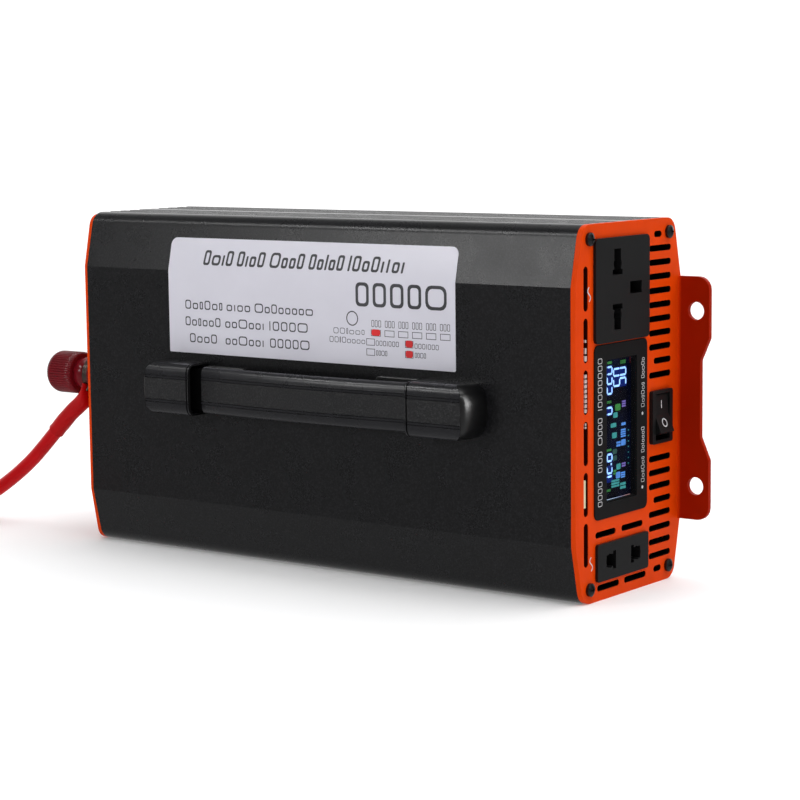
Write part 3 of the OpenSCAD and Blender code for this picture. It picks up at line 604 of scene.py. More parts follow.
def add_vent_glimpses():
    """Pale edges of the parts inside that show in the tall vents: a heat sink's fins, whose pale pinkish
    colour is a painted sheen of lit metal, and a bobbin.
    """
    fins = [(85.4 - 1.82 * k, 1.3, 0.8) for k in range(8)]
    fins += [(92.2, 1.9, 0.8), (95.1, 2.1, 0.5), (98.1, 1.0, 0.4), (67.6, 0.9, 0.4), (66.3, 0.8, 0.4)]
    for name, material, slot, middle, rows in (
            ("vent_fins", "fin_painted_sheen", "aluminium", SIDE_VENT_Y + 0.6, fins),
            ("vent_bobbin", "bobbin_cream", "tape_yellow", SIDE_VENT_Y - 0.3, [(46.5, 10.3, 0.7)])):
        bm = bmesh.new()
        for top, tall, half in rows:
            add_prism(bm, rectangle((middle - half, top - tall), (middle + half, top), 0.15, 2),
                      lambda y, z, lift: mm(HALF_L - 0.4 - lift, y, z), 0.0, 2.4)
        as_object(name, bm, "housing", material)


add_end_panel("ac_end_panel", 1)
add_end_panel("dc_end_panel", -1)
add_vent_glimpses()

# ---- Carrying handle ----

CAP_IN = 54.0          # mouth of each end cap
BLOCK_END = 80.2       # where a cap's grooved face meets its glossy nose
NOSE_CORNER_X = 78.0   # where the nose starts to narrow, on the casing
CAP_OUT = 84.0
LEFT_SHORTER = 2.3
CAP_H = 12.0
CAP_HALF_W = 10.5
STRAP_HALF_W = 9.5
STRAP_T = 4.5
STRAP_EDGE_H = 8.0
STRAP_MID_H = 10.5
TAB_END = 75.0
GAP_START = -60.5      # the strap is thinner from here, inside the left cap, to here, where it is also painted near-black as painted shade, so a dark gap shows beside the cap
GAP_END = -50.6        # to here, so a dark gap shows beside the cap
BAND_HALF = 4.2        # half width of the grained band
GROOVES = (4.4, 5.5)   # places of the two fine grooves beside it


def handle_point(x, z, height):
    return mm(x, -HALF_D - height, MID_Z + z)


def grooved_edge(edge_z, edge_depth, corner_z):
    """(z, depth) from the middle of a handle's face to its side: band, grooves, eased edge."""
    points = [(0, 0), (BAND_HALF, 0)]
    for groove in GROOVES:
        points += [(groove - 0.22, 0.02), (groove - 0.1, 0.34), (groove + 0.1, 0.34),
                   (groove + 0.22, 0.02)]
    points.append((corner_z, 0.1))
    for k in range(1, 8):
        angle = math.radians(90 * k / 7)
        points.append((corner_z + (edge_z - corner_z) * math.sin(angle),
                       0.1 + (edge_depth - 0.1) * (1 - math.cos(angle))))
    return points


def cap_profile():
    """A cap's outline across the handle: its face, eased edges and sides down to the casing."""
    half = grooved_edge(CAP_HALF_W, 3.2, 6.9) + [(CAP_HALF_W, 7.0), (CAP_HALF_W, CAP_H)]
    return [(-z, d) for z, d in half[:0:-1]] + half


def nose_profile():
    """The same outline without its grooves, with steps enough to bend across the face."""
    corner = [point for point in grooved_edge(CAP_HALF_W, 3.2, 6.9) if point[0] > 6.9]
    flat = [(6.9 * k / 8, 0.02) for k in range(9)]
    half = flat + corner + [(CAP_HALF_W, 3.2 + (CAP_H - 3.2) * k / 4) for k in range(1, 5)]
    return [(-z, d) for z, d in half[:0:-1]] + half


def cap_ring(x, inset=0.0):
    out = []
    for z, depth in cap_profile():
        if inset:
            z = max(-CAP_HALF_W + inset, min(CAP_HALF_W - inset, z))
            depth = max(depth, 0.3) + inset * (1 if depth < CAP_H else -0.5)
        out.append(handle_point(x, z, CAP_H - depth))
    return out


def shortened(side, x):
    """A place along a cap, which is a little shorter on the left."""
    return side * (x - (LEFT_SHORTER if side < 0 else 0.0))


def block_end_point(side, z, depth):
    """A point of the block's outer end, which is cut back towards the handle's sides."""
    turn = math.radians(90) * min(1.0, max(0.0, abs(z) - 6.9) / (CAP_HALF_W - 6.9))
    turn = turn if depth < 3.2 else math.radians(90)
    return handle_point(shortened(side, BLOCK_END - 3.2 * (1 - math.cos(turn))), z, CAP_H - depth)


def nose_point(side, z, depth, share):
    """A point of the nose, which starts flush with the block's end, at share 0, and curves out and
    down to a round-cornered outline on the casing, at share 1."""
    out = math.sin(math.pi / 2 * share)
    fall = math.cos(math.pi / 2 * share)
    across = min(1.0, abs(z) / CAP_HALF_W)
    start = block_end_point(side, z, depth)
    reach = NOSE_CORNER_X + (CAP_OUT - NOSE_CORNER_X) * (1 - across ** 2.6) ** 0.5
    end_z = math.copysign((CAP_HALF_W - 0.1) * across ** 0.92, z)
    crown = 1 - 0.16 * min(1.0, abs(z) / 7) ** 2 * out ** 0.7
    height = (CAP_H - depth) * fall * crown
    end = handle_point(shortened(side, reach), end_z, 0)
    start_x, end_x = start.x + side * 0.00012, end.x
    point = handle_point(0, z + (end_z - z) * out, height)
    point.x = start_x + (end_x - start_x) * out
    return point


def band_or_edge(obj, half=BAND_HALF + 0.05):
    """Gives a handle piece its grained material on the faces of its middle band."""
    obj.data.materials.append(MATERIALS["handle_band"])
    for face in obj.data.polygons:
        if abs(face.center.z * 1000 - MID_Z) < half and face.normal.y < -0.5:
            face.material_index = 1


def add_cap(side, name):
    """A hollow grooved block, whose mouth and the groove beside it are painted near-black as painted
    shade, a glossy nose that falls to the casing, and the bracket plate.
    """
    bm = bmesh.new()
    steps = 7
    seam = [(0.5, 0.0), (1.1, 0.0), (1.2, 0.4), (1.6, 0.4), (1.7, 0.0)]
    outer = [cap_ring(side * (CAP_IN + out), inset) for out, inset in seam]
    run = side * shortened(side, BLOCK_END - 7.0) - CAP_IN
    outer += [cap_ring(side * (CAP_IN + 3.0 + run * k / steps)) for k in range(steps + 1)]
    outer.append([block_end_point(side, z, depth) for z, depth in cap_profile()])
    inner = [cap_ring(side * (CAP_IN + (19.0 - 18.8 * k)), inset=0.75) for k in range(2)]
    add_loft(bm, inner + [cap_ring(side * CAP_IN, inset=0.55)] + outer)
    block = as_object("handle_block_" + name, bm, "housing", "handle_edge", sharp=30)
    band_or_edge(block)
    # painted shade: the mouth and the groove beside it get near-black
    block.data.materials.append(MATERIALS["painted_shade_black"])
    for face in block.data.polygons:
        out = side * face.center.x * 1000 - CAP_IN
        if out < 0.4 or 1.12 < out < 1.68:
            face.material_index = 2
    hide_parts("handle_end_" + name)

    bm = bmesh.new()
    steps = 14
    rings = [[nose_point(side, z, depth, k / steps) for z, depth in nose_profile()]
             for k in range(steps + 1)]
    add_loft(bm, rings)
    as_object("handle_nose_" + name, bm, "housing", "handle_gloss", sharp=60)

    bm = bmesh.new()
    plate_low, plate_high = sorted((side * 33.0, side * (CAP_IN + 0.8)))
    half = 10.5 if side > 0 else 9.3
    outline = rectangle((plate_low, -half), (plate_high, half), 2.0)
    add_prism(bm, outline, handle_point, 0.0, 1.75)
    plate = as_object("handle_bracket_" + name, bm, "housing", "handle_gloss")
    ease(plate, 0.4)


def ease(obj, width, segments=2):
    """Rounds a piece's sharp edges by width millimetres."""
    modifier = obj.modifiers.new("ease", "BEVEL")
    modifier.width = width * 0.001
    modifier.segments = segments
    modifier.limit_method = "ANGLE"
    modifier.angle_limit = math.radians(40)
    modifier.harden_normals = True


def strap_height(x):
    reach = min(1.0, abs(x) / CAP_IN)
    return STRAP_MID_H - (STRAP_MID_H - STRAP_EDGE_H) * reach ** 2


def strap_ring(x, drop=0.0):
    """The strap's outline at x. It drops beside the left cap, where a dark gap shows; add_strap paints
    that stretch near-black as painted shade.
    """
    half = grooved_edge(STRAP_HALF_W, 2.6, 6.2) + [(STRAP_HALF_W, 3.4), (9.0, 4.2), (8.3, STRAP_T)]
    whole = [(-z, d) for z, d in half[:0:-1]] + half
    return [handle_point(x, z * (1 - 0.05 * drop), strap_height(x) - max(depth, drop))
            for z, depth in whole]


def add_strap():
    """The flexible strap: two halves between the grip and the sliding ends, and the
    middle, which moves with the grip."""
    middle = 8.0
    parts = [("handle_strap_left", -TAB_END, -middle, "strap_end_left"),
             ("handle_strap_middle", -middle, middle, "handle_grip"),
             ("handle_strap_right", middle, TAB_END, "strap_end_right")]
    for name, start, end, node in parts:
        steps = 44 if node != "handle_grip" else 8
        bm = bmesh.new()
        places = [(start + (end - start) * k / steps, 0.0) for k in range(steps + 1)]
        if node == "strap_end_left":
            near = [(GAP_START, 0.0), (GAP_START + 0.1, 2.2), (GAP_END - 0.3, 2.2), (GAP_END, 0.0)]
            far = [p for p in places if p[0] < GAP_START - 0.6 or p[0] > GAP_END + 0.6]
            places = sorted(far + near)
        add_loft(bm, [strap_ring(x, drop) for x, drop in places],
                 close_start=start == -TAB_END, close_end=end == TAB_END)
        body = "handle_grip" if node == "handle_grip" else None
        strap = as_object(name, bm, body, "handle_edge", sharp=30)
        band_or_edge(strap)
        # painted shade: the stretch beside the left cap gets near-black
        strap.data.materials.append(MATERIALS["painted_shade_black"])
        for face in strap.data.polygons:
            if GAP_START < face.center.x * 1000 < GAP_END:
                face.material_index = 2
        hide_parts(node)
        if body is None:
            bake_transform(strap)


add_cap(-1, "left")
add_cap(1, "right")
add_strap()

# ---- Generic glyphs ----

GLYPHS = {"O": (1.0, 1.0), "o": (0.92, 0.7), "l": (0.3, 1.0), "i": (0.3, 0.7), "W": (1.55, 1.0),
          "w": (1.3, 0.7), "t": (0.55, 0.85)}   # width and height of each plain placeholder


def add_words(bm, words, placer, stroke, lift=(0.0, 0.03), slant=0.0):
    """Blank boxes and strokes in place of words. Each word is its glyphs, start, end, base and
    height. placer(along, up, lift) gives a point."""

    def leaning(along, up, height):
        return placer(along + slant * up, up, height)

    for glyphs, start, end, base, height in words:
        total = sum(GLYPHS[g][0] for g in glyphs) + 0.3 * (len(glyphs) - 1)
        unit = (end - start) / total
        at = start
        for glyph in glyphs:
            wide, tall = GLYPHS[glyph][0] * unit, GLYPHS[glyph][1] * height
            hollow = wide > 2.6 * stroke
            start_x = at if hollow else at + (wide - stroke) / 2
            end_x = at + wide if hollow else start_x + stroke

            def put(along, up, height_above, base=base):
                point = leaning(along, up, height_above)
                return point + base_shift(placer, base)

            corner = min(end_x - start_x, tall) * 0.3
            outline = rectangle((start_x, 0), (end_x, tall), corner, 3)
            hole = None
            if hollow:
                hole = rectangle((start_x + stroke, stroke), (end_x - stroke, tall - stroke),
                                 max(0.04, corner - 0.6 * stroke), 3)
            add_prism(bm, outline, put, *lift, hole=hole)
            at += wide + 0.3 * unit


def base_shift(placer, base):
    return placer(0, base, 0) - placer(0, 0, 0)


# ---- Rating label ----

LABEL_X = (-74.5, 70.0)
LABEL_Z = (84.0, 130.8)
LABEL_T = 0.17
BEND_Z = HEIGHT - SHOULDER_H
LEAN = SHOULDER_IN / SHOULDER_H


def label_point(x, z, lift):
    """On the label's outer face, which leans in above the bend."""
    lean = max(0.0, z - BEND_Z) * LEAN
    return mm(x, -HALF_D - lift + lean, z)


def add_bent_sheet(bm, outline, cuts, placer, low, high):
    """A thin sheet over a flat outline, cut across at each height in cuts so that it can bend."""
    flat = bmesh.new()
    flat.faces.new([flat.verts.new((p[0], p[1], low)) for p in outline])
    for cut in cuts:
        bmesh.ops.bisect_plane(flat, geom=flat.verts[:] + flat.edges[:] + flat.faces[:],
                               plane_co=(0, cut, 0), plane_no=(0, 1, 0))
    raised = bmesh.ops.extrude_face_region(flat, geom=flat.faces[:])["geom"]
    for vert in raised:
        if isinstance(vert, bmesh.types.BMVert):
            vert.co.z = high
    for vert in flat.verts:
        vert.co = placer(*vert.co)
    mesh = bpy.data.meshes.new("sheet")
    flat.to_mesh(mesh)
    flat.free()
    bm.from_mesh(mesh)
    bpy.data.meshes.remove(mesh)


def add_label():
    film = bmesh.new()
    corners = [(LABEL_X[0], LABEL_Z[0]), (LABEL_X[1], LABEL_Z[0]), (LABEL_X[1], LABEL_Z[1]),
               (LABEL_X[0], LABEL_Z[1])]
    add_bent_sheet(film, rounded(corners, [0.6, 0.6, 3.0, 3.0], 8), [BEND_Z], label_point, 0.0,
                   LABEL_T)
    label = as_object("rating_label_film", film, "housing", "label_film", sharp=30)
    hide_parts("rating_label")

    dark = bmesh.new()

    def upper(along, up, lift):
        return label_point(along, 120.1 + up, LABEL_T + lift)

    def lower(along, up, lift):
        return label_point(along, up, LABEL_T + lift)

    title = [("OwiO", -56.1, -40.7), ("OioO", -38.2, -24.1), ("WooO", -21.2, -3.9),
             ("OoloO", -1.2, 15.9), ("lOoOitoi", 18.3, 45.2)]
    add_words(dark, [(g, a, b, 0.0, 6.0) for g, a, b in title], upper, 0.95, slant=0.14)
    lines = [(102.0, [("OotOot", -65.5, -45.5), ("oioo", -43.2, -30.8), ("WoOoooow", -28.4, 1.5)]),
             (95.2, [("OotooO", -65.6, -46.7), ("ooWooi", -44.1, -23.7), ("lOOOW", -21.1, -1.3)]),
             (88.4, [("OooO", -63.4, -48.8), ("ooWooi", -44.1, -23.9), ("OOOOW", -20.7, -0.5)])]
    for base, words in lines:
        add_words(dark, [(g, a, b, base, 3.7) for g, a, b in words], lower, 0.48)
    add_words(dark, [("OOOOW", 22.8, 66.1, 106.8, 9.3)], lower, 1.25)
    small = [("OOO", 30.4 + 6.5 * k, 35.0 + 6.5 * k, 99.1, 2.7) for k in range(6)]
    small += [("OOloot", 11.7, 26.9, 95.8, 2.3), ("OOlOoooo", 9.7, 27.2, 92.3, 2.3),
              ("OOOlOOO", 32.4, 43.4, 92.0, 2.0), ("OOOlOOO", 50.9, 62.2, 91.8, 2.0),
              ("OOWO", 32.5, 37.8, 88.2, 2.0), ("OOWO", 51.0, 56.2, 88.3, 2.0)]
    add_words(dark, small, lower, 0.22)
    add_prism(dark, ring_points((21.0, 102.0), 2.9), lower, 0, 0.03,
              hole=ring_points((21.0, 102.0), 2.45))
    boxes = [(30.1 + 6.57 * k, 95.6, 4.7, 2.5) for k in range(6)]
    boxes += [(27.8, 91.9, 4.1, 2.7), (46.4, 91.9, 3.9, 2.7), (27.8, 88.0, 4.1, 2.7),
              (46.4, 88.0, 3.9, 2.7)]
    for x, z, wide, tall in boxes:
        add_prism(dark, rectangle((x, z), (x + wide, z + tall)), lower, 0, 0.03,
                  hole=rectangle((x + 0.24, z + 0.24), (x + wide - 0.24, z + tall - 0.24)))
    as_object("label_print", dark, "housing", "print_dark")

    red = bmesh.new()
    for x, z, wide, tall in (boxes[0], boxes[7], boxes[9]):
        add_prism(red, rectangle((x + 0.3, z + 0.2), (x + wide - 0.25, z + tall + 0.15), 0.8), lower,
                  0.03, 0.06)
    as_object("label_checks", red, "housing", "print_red")


add_label()

# ---- Display ----

OVERLAY_X = HALF_L + 0.5
SCREEN_X = HALF_L - 2.0
WINDOW_Y = (-16.8, 4.4)
WINDOW_Z = (36.1, 89.8)

SEGMENTS = {"0": "abcdef", "1": "bc", "2": "abged", "5": "afgcd", "6": "afgedc", "8": "abcdefg"}


def overlay_point(y, z, lift):
    return mm(OVERLAY_X + lift, y, z)


def screen_point(y, z, lift):
    return mm(SCREEN_X + lift, y, z)


def add_digit(bm, digit, centre_z, base_y, wide, tall, bold):
    """One seven-segment digit that reads upward: its top points to -Y."""
    half = tall / 2
    left, right = centre_z - wide / 2, centre_z + wide / 2
    ends = {"a": ((left, tall), (right, tall)), "g": ((left, half), (right, half)),
            "d": ((left, 0), (right, 0)), "f": ((left, half), (left, tall)),
            "b": ((right, half), (right, tall)), "e": ((left, 0), (left, half)),
            "c": ((right, 0), (right, half))}
    for name in SEGMENTS[digit]:
        start, end = (Vector(p) for p in ends[name])
        along = (end - start).normalized()
        side = Vector((-along.y, along.x)) * bold / 2
        start, end = start + along * bold * 0.62, end - along * bold * 0.62
        outline = [start - along * bold / 2, start + side, end + side, end + along * bold / 2,
                   end - side, start - side]
        add_prism(bm, outline, lambda z, up, lift: screen_point(base_y - up, z, lift), 0.05, 0.09)


def add_screen():
    bm = bmesh.new()
    edge = 1.8
    add_prism(bm, rectangle((WINDOW_Y[0] - edge, WINDOW_Z[0] - edge),
                            (WINDOW_Y[1] + edge, WINDOW_Z[1] + edge), 0.5), screen_point, 0.0, 0.04)
    as_object("display_screen", bm, "housing", "display_screen")

    bm = bmesh.new()
    wall = 0.45
    rim = rectangle((WINDOW_Y[0] - 0.05, WINDOW_Z[0] - 0.05), (WINDOW_Y[1] + 0.05, WINDOW_Z[1] + 0.05))
    opening = rectangle((WINDOW_Y[0] + wall, WINDOW_Z[0] + wall),
                        (WINDOW_Y[1] - wall, WINDOW_Z[1] - wall))
    add_prism(bm, rim, screen_point, 0.06, OVERLAY_X - SCREEN_X - 0.55, hole=opening)
    as_object("display_bezel", bm, "housing", "display_black")

    digits = [("0", 85.0, -9.35, 2.6, 6.6), ("2", 81.3, -9.35, 2.6, 6.6), ("2", 77.6, -9.35, 2.6, 6.6),
              ("0", 83.9, 0.4, 2.6, 8.6), ("5", 80.1, 0.4, 2.6, 8.6), ("0", 69.9, -9.35, 2.4, 6.6),
              ("6", 52.3, -9.35, 2.5, 6.6), ("2", 47.6, -9.35, 2.3, 6.6), ("1", 44.4, -9.35, 1.6, 6.6)]
    bm = bmesh.new()
    for digit, centre, base, wide, tall in digits:
        add_digit(bm, digit, centre, base, wide, tall, 0.75)
    add_prism(bm, rectangle((-10.3, 49.3), (-9.4, 50.2), 0.3), screen_point, 0.05, 0.09)
    as_object("display_digits", bm, "housing", "display_digits")

    bm = bmesh.new()
    for digit, centre, base, wide, tall in digits:
        add_prism(bm, rectangle((base - tall - 0.7, centre - wide / 2 - 0.6),
                                (base + 0.7, centre + wide / 2 + 0.6), 0.7), screen_point, 0.04, 0.045)
    as_object("display_glow", bm, "housing", "display_glow")

    icons = {"green": [(-12.6, -9.4, 87.5, 88.4, 1), (-3.4, 0.3, 86.8, 88.2, 3),
                       (-12.8, -9.8, 72.8, 73.8, 2), (-7.1, -3.3, 69.4, 71.9, 1),
                       (-13.2, -9.8, 54.8, 55.6, 1), (-8.4, -6.3, 45.5, 47.5, 2),
                       (-13.6, -10.3, 39.6, 40.5, 3)],
             "teal": [(-8.4, -5.4, 66.9, 68.9, 1), (-10.2, -6.3, 63.4, 65.0, 1),
                      (-9.3, -5.9, 59.3, 61.4, 1), (-6.2, -3.2, 47.1, 49.3, 1),
                      (-9.7, -4.1, 40.7, 43.8, 3), (-3.5, 0.4, 39.4, 42.1, 2)]
                     + [(2.0, 2.7, 48.4 + 2.1 * k, 48.8 + 2.1 * k, 1) for k in range(7)],
             "blue": [(-2.7, 0.4, 63.4, 64.5, 1), (-3.1, 0.4, 59.0, 62.3, 4),
                      (-6.2, -3.2, 55.8, 58.0, 2), (-2.9, 0.4, 55.8, 58.1, 1),
                      (-6.6, -3.4, 43.8, 46.2, 1), (-3.0, 0.0, 43.6, 46.0, 3)],
             "violet": [(-2.3, 0.4, 70.4, 73.0, 3), (-2.4, 0.3, 47.7, 49.5, 2)],
             "dim": [(-8.8, -5.9, 50.8, 55.7, 2)],
             "red": [(3.0, 6.3, 86.4, 88.9, 1)]}
    for colour, blocks in icons.items():
        bm = bmesh.new()
        for y0, y1, z0, z1, count in blocks:
            pitch = (z1 - z0) / count
            for k in range(count):
                low, high = z0 + pitch * k, z0 + pitch * (k + 1) - (0.25 * pitch if count > 1 else 0)
                add_prism(bm, rectangle((y0, low), (y1, high), 0.25 * (high - low), 4), screen_point,
                          0.05, 0.08)
        as_object("display_icons_" + colour, bm, "housing", "display_" + colour)

    bm = bmesh.new()
    add_prism(bm, rectangle((-15.4, 34.9), (3.6, 36.7), 0.3), screen_point, 0.05, 0.08)
    as_object("display_edge_light", bm, "housing", "display_edge")


def edge_light():
    """White light that leaks at the screen's lower edge and reddens towards one end."""
    nodes = Nodes("display_edge")
    split = nodes.add("ShaderNodeSeparateXYZ")
    nodes.link(nodes.place(), split.inputs["Vector"])
    share = nodes.spread(split.outputs["Y"], 0.0, 1.0, -15.0, 3.5)
    glow = nodes.colours(share, [(0.0, (0.55, 0.75, 1.0)), (0.55, (0.18, 0.30, 0.62)),
                                 (0.85, (0.25, 0.04, 0.03))])
    nodes.link(glow, nodes.shader.inputs["Emission Color"])
    nodes.set(Emission_Strength=1.3, Roughness=0.4)
    return nodes.material


MATERIALS.update({
    "display_digits": lit("display_digits", (0.30, 0.54, 1.0), 1.6),
    "display_glow": lit("display_glow", (0.001, 0.010, 0.12), 1.0),
    "display_green": lit("display_green", (0.04, 0.22, 0.05), 0.7),
    "display_teal": lit("display_teal", (0.04, 0.26, 0.26), 0.9),
    "display_blue": lit("display_blue", (0.07, 0.22, 0.62), 0.9),
    "display_violet": lit("display_violet", (0.16, 0.12, 0.42), 0.8),
    "display_dim": lit("display_dim", (0.03, 0.09, 0.08), 0.7),
    "display_red": lit("display_red", (0.05, 0.004, 0.004), 0.8),
    "display_edge": edge_light(),
})


def add_overlay():
    finer("display_overlay", 0.12)
    bm = bmesh.new()

    def title(along, up, lift):
        return overlay_point(-20.1 - up, along, lift)

    def names(along, up, lift):
        return overlay_point(9.9 - up, along, lift)

    add_words(bm, [("OOOO", 35.5, 44.8, 0, 2.9), ("OlOO", 48.3, 56.0, 0, 2.9),
                   ("WOOO", 58.5, 68.5, 0, 2.9), ("lOOOOOOO", 71.3, 90.6, 0, 2.9)], title, 0.25)
    add_words(bm, [("OotOot", 40.7, 50.4, 0, 2.3), ("OoloooO", 52.1, 61.8, 0, 2.3),
                   ("OotOot", 69.4, 78.7, 0, 2.3), ("OowOo", 80.4, 88.2, 0, 2.3)], names, 0.2)
    for z in (38.8, 67.0):
        add_prism(bm, ring_points((8.5, z), 0.62, 16), overlay_point, 0, 0.03)
    as_object("overlay_print", bm, "housing", "print_white")


def add_wave_sign(name, y, z):
    """The plain sign for alternating current, printed on the panel beside an outlet."""
    bm = bmesh.new()
    steps, length, height, bold = 20, 5.2, 0.95, 0.24
    sides = ([], [])
    for k in range(steps + 1):
        share = k / steps
        along = z + length * share
        across = y + height * math.sin(2 * math.pi * share)
        slope = math.atan(height * 2 * math.pi / length * math.cos(2 * math.pi * share))
        for side, points in zip((-1, 1), sides):
            points.append((across + side * bold * math.cos(slope), along - side * bold * math.sin(slope)))
    outline = [Vector(p) for p in sides[0] + sides[1][::-1]]
    add_prism(bm, outline, lambda a, b, lift: mm(HALF_L + lift, a, b), 0.0, 0.03)
    as_object(name, bm, "housing", "print_white")


add_screen()
add_overlay()
add_wave_sign("wave_sign_small_outlet", -27.0, 12.2)
add_wave_sign("wave_sign_main_outlet", -28.2, 112.0)

# ---- Rocker switch ----

SWITCH_Y = 21.8
PIVOT = Vector((119.5, SWITCH_Y, 64.4))
ROCKER_TILT = math.radians(-12)
FACE_MIDDLE = (4.7, 0.0)
FACE_END = (5.9, 7.4)


def rocker_point(upper):
    """A placer for marks on one half of the rocker's face: across it, and from its middle out."""
    run = Vector((FACE_END[0] - FACE_MIDDLE[0], FACE_END[1] - FACE_MIDDLE[1])).normalized()
    sign = 1 if upper else -1

    def place(across, out, lift):
        x = FACE_MIDDLE[0] + run.x * out + run.y * lift
        z = sign * (run.y * out - run.x * lift)
        turned = Matrix.Rotation(ROCKER_TILT, 3, "Y") @ Vector((x, across, z))
        return mm(*(PIVOT + turned))
    return place


def add_switch():
    finer("switch_housing", 0.35)
    finer("switch_rocker", 0.45, segments=3)
    bm = bmesh.new()
    add_prism(bm, rectangle((-0.2, 2.2), (0.2, 5.2), 0.1, 2), rocker_point(True), -0.02, 0.04)
    add_prism(bm, ring_points((0, 3.6), 1.75), rocker_point(False), -0.02, 0.04,
              hole=ring_points((0, 3.6), 1.3))
    as_object("rocker_marks", bm, "switch_rocker", "print_white")


add_switch()

# ---- Outlets ----

for outlet in ("main_outlet_body", "small_outlet_body"):
    finer(outlet, 0.3)

# ---- Battery terminals ----

TERMINAL_Z = 69.2
KNOB_R = 9.15
KNOB_L = 15.5
COLLAR_R = 7.0
COLLAR_H = 6.0
RIBS = 52


def add_knob(name, y, seat, material, node, body):
    """A ribbed knob with a domed end on a smooth collar, out along -X from its seat."""
    start = seat + COLLAR_H
    end = start + KNOB_L
    profile = [(4.2, seat, 0), (COLLAR_R - 0.5, seat, 0), (COLLAR_R, seat + 0.5, 0),
               (COLLAR_R, start - 1.2, 0), (COLLAR_R - 0.25, start - 0.8, 0),
               (COLLAR_R - 0.25, start - 0.05, 0), (KNOB_R - 0.7, start, 0.2),
               (KNOB_R, start + 0.7, 1)]
    profile += [(KNOB_R, start + 0.7 + (KNOB_L - 4.4) * k / 4, 1) for k in range(1, 5)]
    dome = 3.6
    profile += [(KNOB_R - dome + dome * math.cos(math.radians(a)),
                 end - dome + dome * math.sin(math.radians(a)), max(0.0, 1 - a / 70))
                for a in range(8, 91, 8)]
    profile += [(KNOB_R - dome - 1.5, end - 0.02, 0), (0.6, end - 0.25, 0)]
    sides = RIBS * 6
    rings = []
    for radius, along, rib in profile:
        ring = []
        for k in range(sides):
            angle = 2 * math.pi * k / sides
            notch = 0.34 * rib * max(0.0, math.cos(RIBS * angle)) ** 2
            reach = radius - notch
            ring.append(mm(-HALF_L - along, y + reach * math.cos(angle),
                           TERMINAL_Z + reach * math.sin(angle)))
        rings.append(ring)
    bm = bmesh.new()
    add_loft(bm, rings)
    knob = as_object(name, bm, body, material, sharp=50)
    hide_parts(node)


add_knob("red_knob_ribbed", -20.0, 13.0, "knob_maroon", "red_terminal_knob", "red_knob")
add_knob("black_knob_ribbed", 10.0, 11.5, "knob_black", "black_terminal_knob", "black_knob")
# the washers in the darkened copy of steel: painted shade
finer("red_terminal_washer", 0.15, material="steel_painted_shade")
finer("black_terminal_washer", 0.15, material="steel_painted_shade")
finer("red_terminal_base", 0.5, segments=3)
finer("black_terminal_base", 0.5, segments=3)


def add_pole_sign(name, y, plus):
    """A plus or minus printed on the panel above a terminal."""
    bm = bmesh.new()
    centre_z, arm, bold = 82.0, 2.0, 0.32
    bars = [((y - arm, centre_z - bold), (y + arm, centre_z + bold))]
    if plus:
        bars.append(((y - bold, centre_z - arm), (y + bold, centre_z - bold)))
        bars.append(((y - bold, centre_z + bold), (y + bold, centre_z + arm)))
    for low, high in bars:
        add_prism(bm, rectangle(low, high), lambda a, b, lift: mm(-HALF_L - lift, a, b), 0.0, 0.03)
    as_object(name, bm, "housing", "print_white")


add_pole_sign("plus_sign", -20.0, True)
add_pole_sign("minus_sign", 10.0, False)

# ---- The other CAD nodes keep their shapes and get their materials ----

# the red lug in the darkened copy of steel: painted shade
NODE_MATERIAL = {"output_choke_winding": "winding_copper", "red_cable_lug": "steel_painted_shade"}
for node_name, node_object in frame["nodes"].items():
    look = MATERIALS.get(NODE_MATERIAL.get(node_name, SLOT_OF[node_name]))
    if look is not None:
        for material_slot in node_object.material_slots:
            material_slot.material = look

# ---- Stage ----


def add_floor():
    bm = bmesh.new()
    bmesh.ops.create_circle(bm, cap_ends=True, segments=96, radius=2.2)
    floor = as_object("floor", bm, None, "floor_white")
    floor.visible_glossy = False


def add_glint():
    """A softbox on the right that shows only in the gloss of the handle's right nose."""
    lamp = add_softbox("glint", (1.68, 0.0, 0.26), (0.08, -0.04, 0.07), (0.7, 0.26), 11)
    lamp.visible_diffuse = False
    receivers = bpy.data.collections.new("glint_receivers")
    receivers.objects.link(bpy.data.objects["handle_nose_right"])
    lamp.light_linking.receiver_collection = receivers


def add_softbox(name, place, target, size, power, colour=(1, 1, 1)):
    data = bpy.data.lights.new(name, "AREA")
    data.shape = "RECTANGLE"
    data.size, data.size_y = size
    data.energy = power
    data.color = colour
    lamp = bpy.data.objects.new(name, data)
    turn = (Vector(target) - Vector(place)).to_track_quat("-Z", "Y").to_matrix().to_4x4()
    lamp.matrix_world = Matrix.Translation(place) @ turn
    lamp.visible_camera = False
    bpy.context.scene.collection.objects.link(lamp)
    return lamp


def add_backdrop(name, start, end, low, high, reflected):
    """Part of a plain white wall all round the stage, from one direction to another in degrees.
    It gives no light of its own, and only the part behind the object shows in its gloss."""
    radius, steps = 9.0, 48
    bm = bmesh.new()
    columns = []
    for k in range(steps + 1):
        angle = math.radians(start + (end - start) * k / steps)
        columns.append([bm.verts.new((radius * math.cos(angle), radius * math.sin(angle), z))
                        for z in (low, high)])
    for a, b in zip(columns, columns[1:]):
        bm.faces.new((a[0], b[0], b[1], a[1]))
    wall = as_object(name, bm, None, "backdrop_white")
    wall.visible_diffuse = False
    wall.visible_transmission = False
    wall.visible_shadow = False
    wall.visible_glossy = reflected


def backdrop_white():
    nodes = Nodes("backdrop_white")
    nodes.set(Emission_Color=(1, 1, 1, 1), Emission_Strength=1.2, Base_Color=(0, 0, 0, 1),
              Specular_IOR_Level=0.0)
    return nodes.material


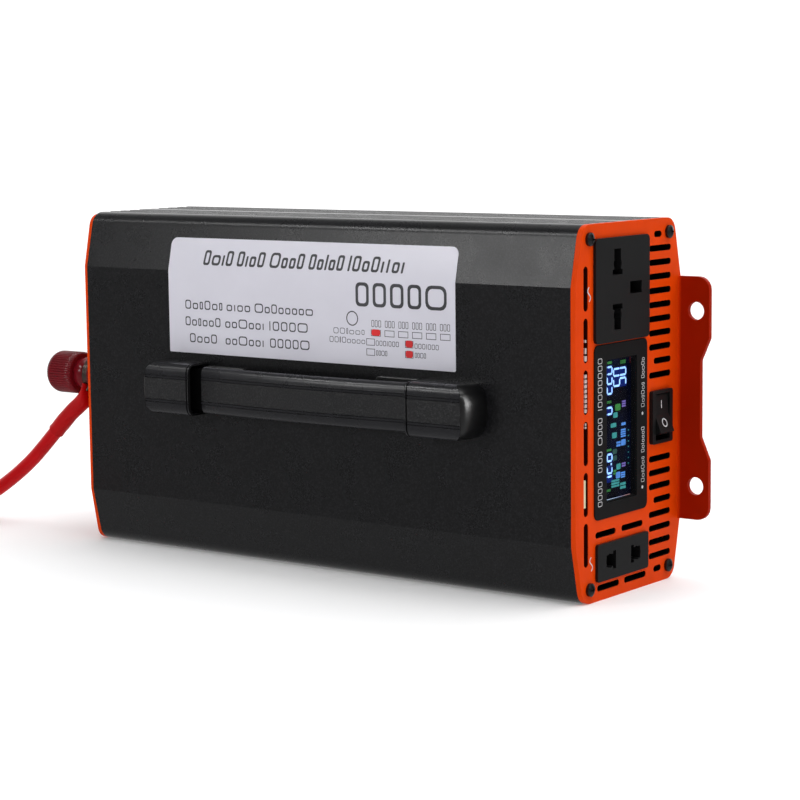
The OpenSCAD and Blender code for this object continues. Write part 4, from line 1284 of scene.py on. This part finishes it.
def shade_world(tree):
    """A room that is dim above and paler towards the floor, by the direction's height."""
    split = tree.nodes.new("ShaderNodeSeparateXYZ")
    tree.links.new(tree.nodes.new("ShaderNodeTexCoord").outputs["Generated"], split.inputs["Vector"])
    height = tree.nodes.new("ShaderNodeMapRange")
    height.inputs["From Min"].default_value = -1.0
    tree.links.new(split.outputs["Z"], height.inputs["Value"])
    ramp = tree.nodes.new("ShaderNodeValToRGB")
    stops = [(0.25, 0.36), (0.33, 0.31), (0.45, 0.21), (0.50, 0.18), (0.56, 0.13), (1.0, 0.11)]
    while len(ramp.color_ramp.elements) < len(stops):
        ramp.color_ramp.elements.new(0.5)
    for element, (place, grey) in zip(ramp.color_ramp.elements, stops):
        element.position = place
        element.color = (grey, grey, grey, 1)
    tree.links.new(height.outputs["Result"], ramp.inputs["Fac"])
    background = tree.nodes["Background"]
    tree.links.new(ramp.outputs["Color"], background.inputs["Color"])
    background.inputs["Strength"].default_value = 1.4


def add_stage():
    floor_look = finish_of("floor_white", (0.86, 0.86, 0.865), 0.75, grain=40, depth=0.05, vary=0.008,
                           blotch=300, specular=0.1)
    floor_look.set(Emission_Color=(1, 1, 1, 1), Emission_Strength=0.16)
    MATERIALS["floor_white"] = floor_look.material
    MATERIALS["backdrop_white"] = backdrop_white()
    add_floor()
    add_backdrop("backdrop_behind", 80, 190, 0.05, 7.0, True)
    add_backdrop("backdrop_low", 80, 190, -7.0, 0.05, False)
    add_backdrop("backdrop_around", 190, 440, -7.0, 7.0, False)
    world = bpy.data.worlds.new("studio")
    world.use_nodes = True
    shade_world(world.node_tree)
    bpy.context.scene.world = world
    sky = bpy.data.lights.new("sky", "SUN")
    sky.energy = 3.3
    sky.angle = math.radians(80)
    overhead = bpy.data.objects.new("sky", sky)
    overhead.rotation_euler = (math.radians(-14), math.radians(10), 0)
    bpy.context.scene.collection.objects.link(overhead)
    add_softbox("key", (1.7, 0.25, 0.75), (0, 0, 0.07), (0.8, 0.8), 1.2)
    add_softbox("front", (-0.95, -1.55, 0.68), (0, 0, 0.10), (0.5, 0.4), 6)
    strip = add_softbox("strip", (-1.0, -1.2, 1.3), (0, 0, 0.07), (0.9, 0.16), 8)
    strip.visible_diffuse = False
    add_glint()
    bpy.context.scene.view_settings.view_transform = "Standard"


add_stage()
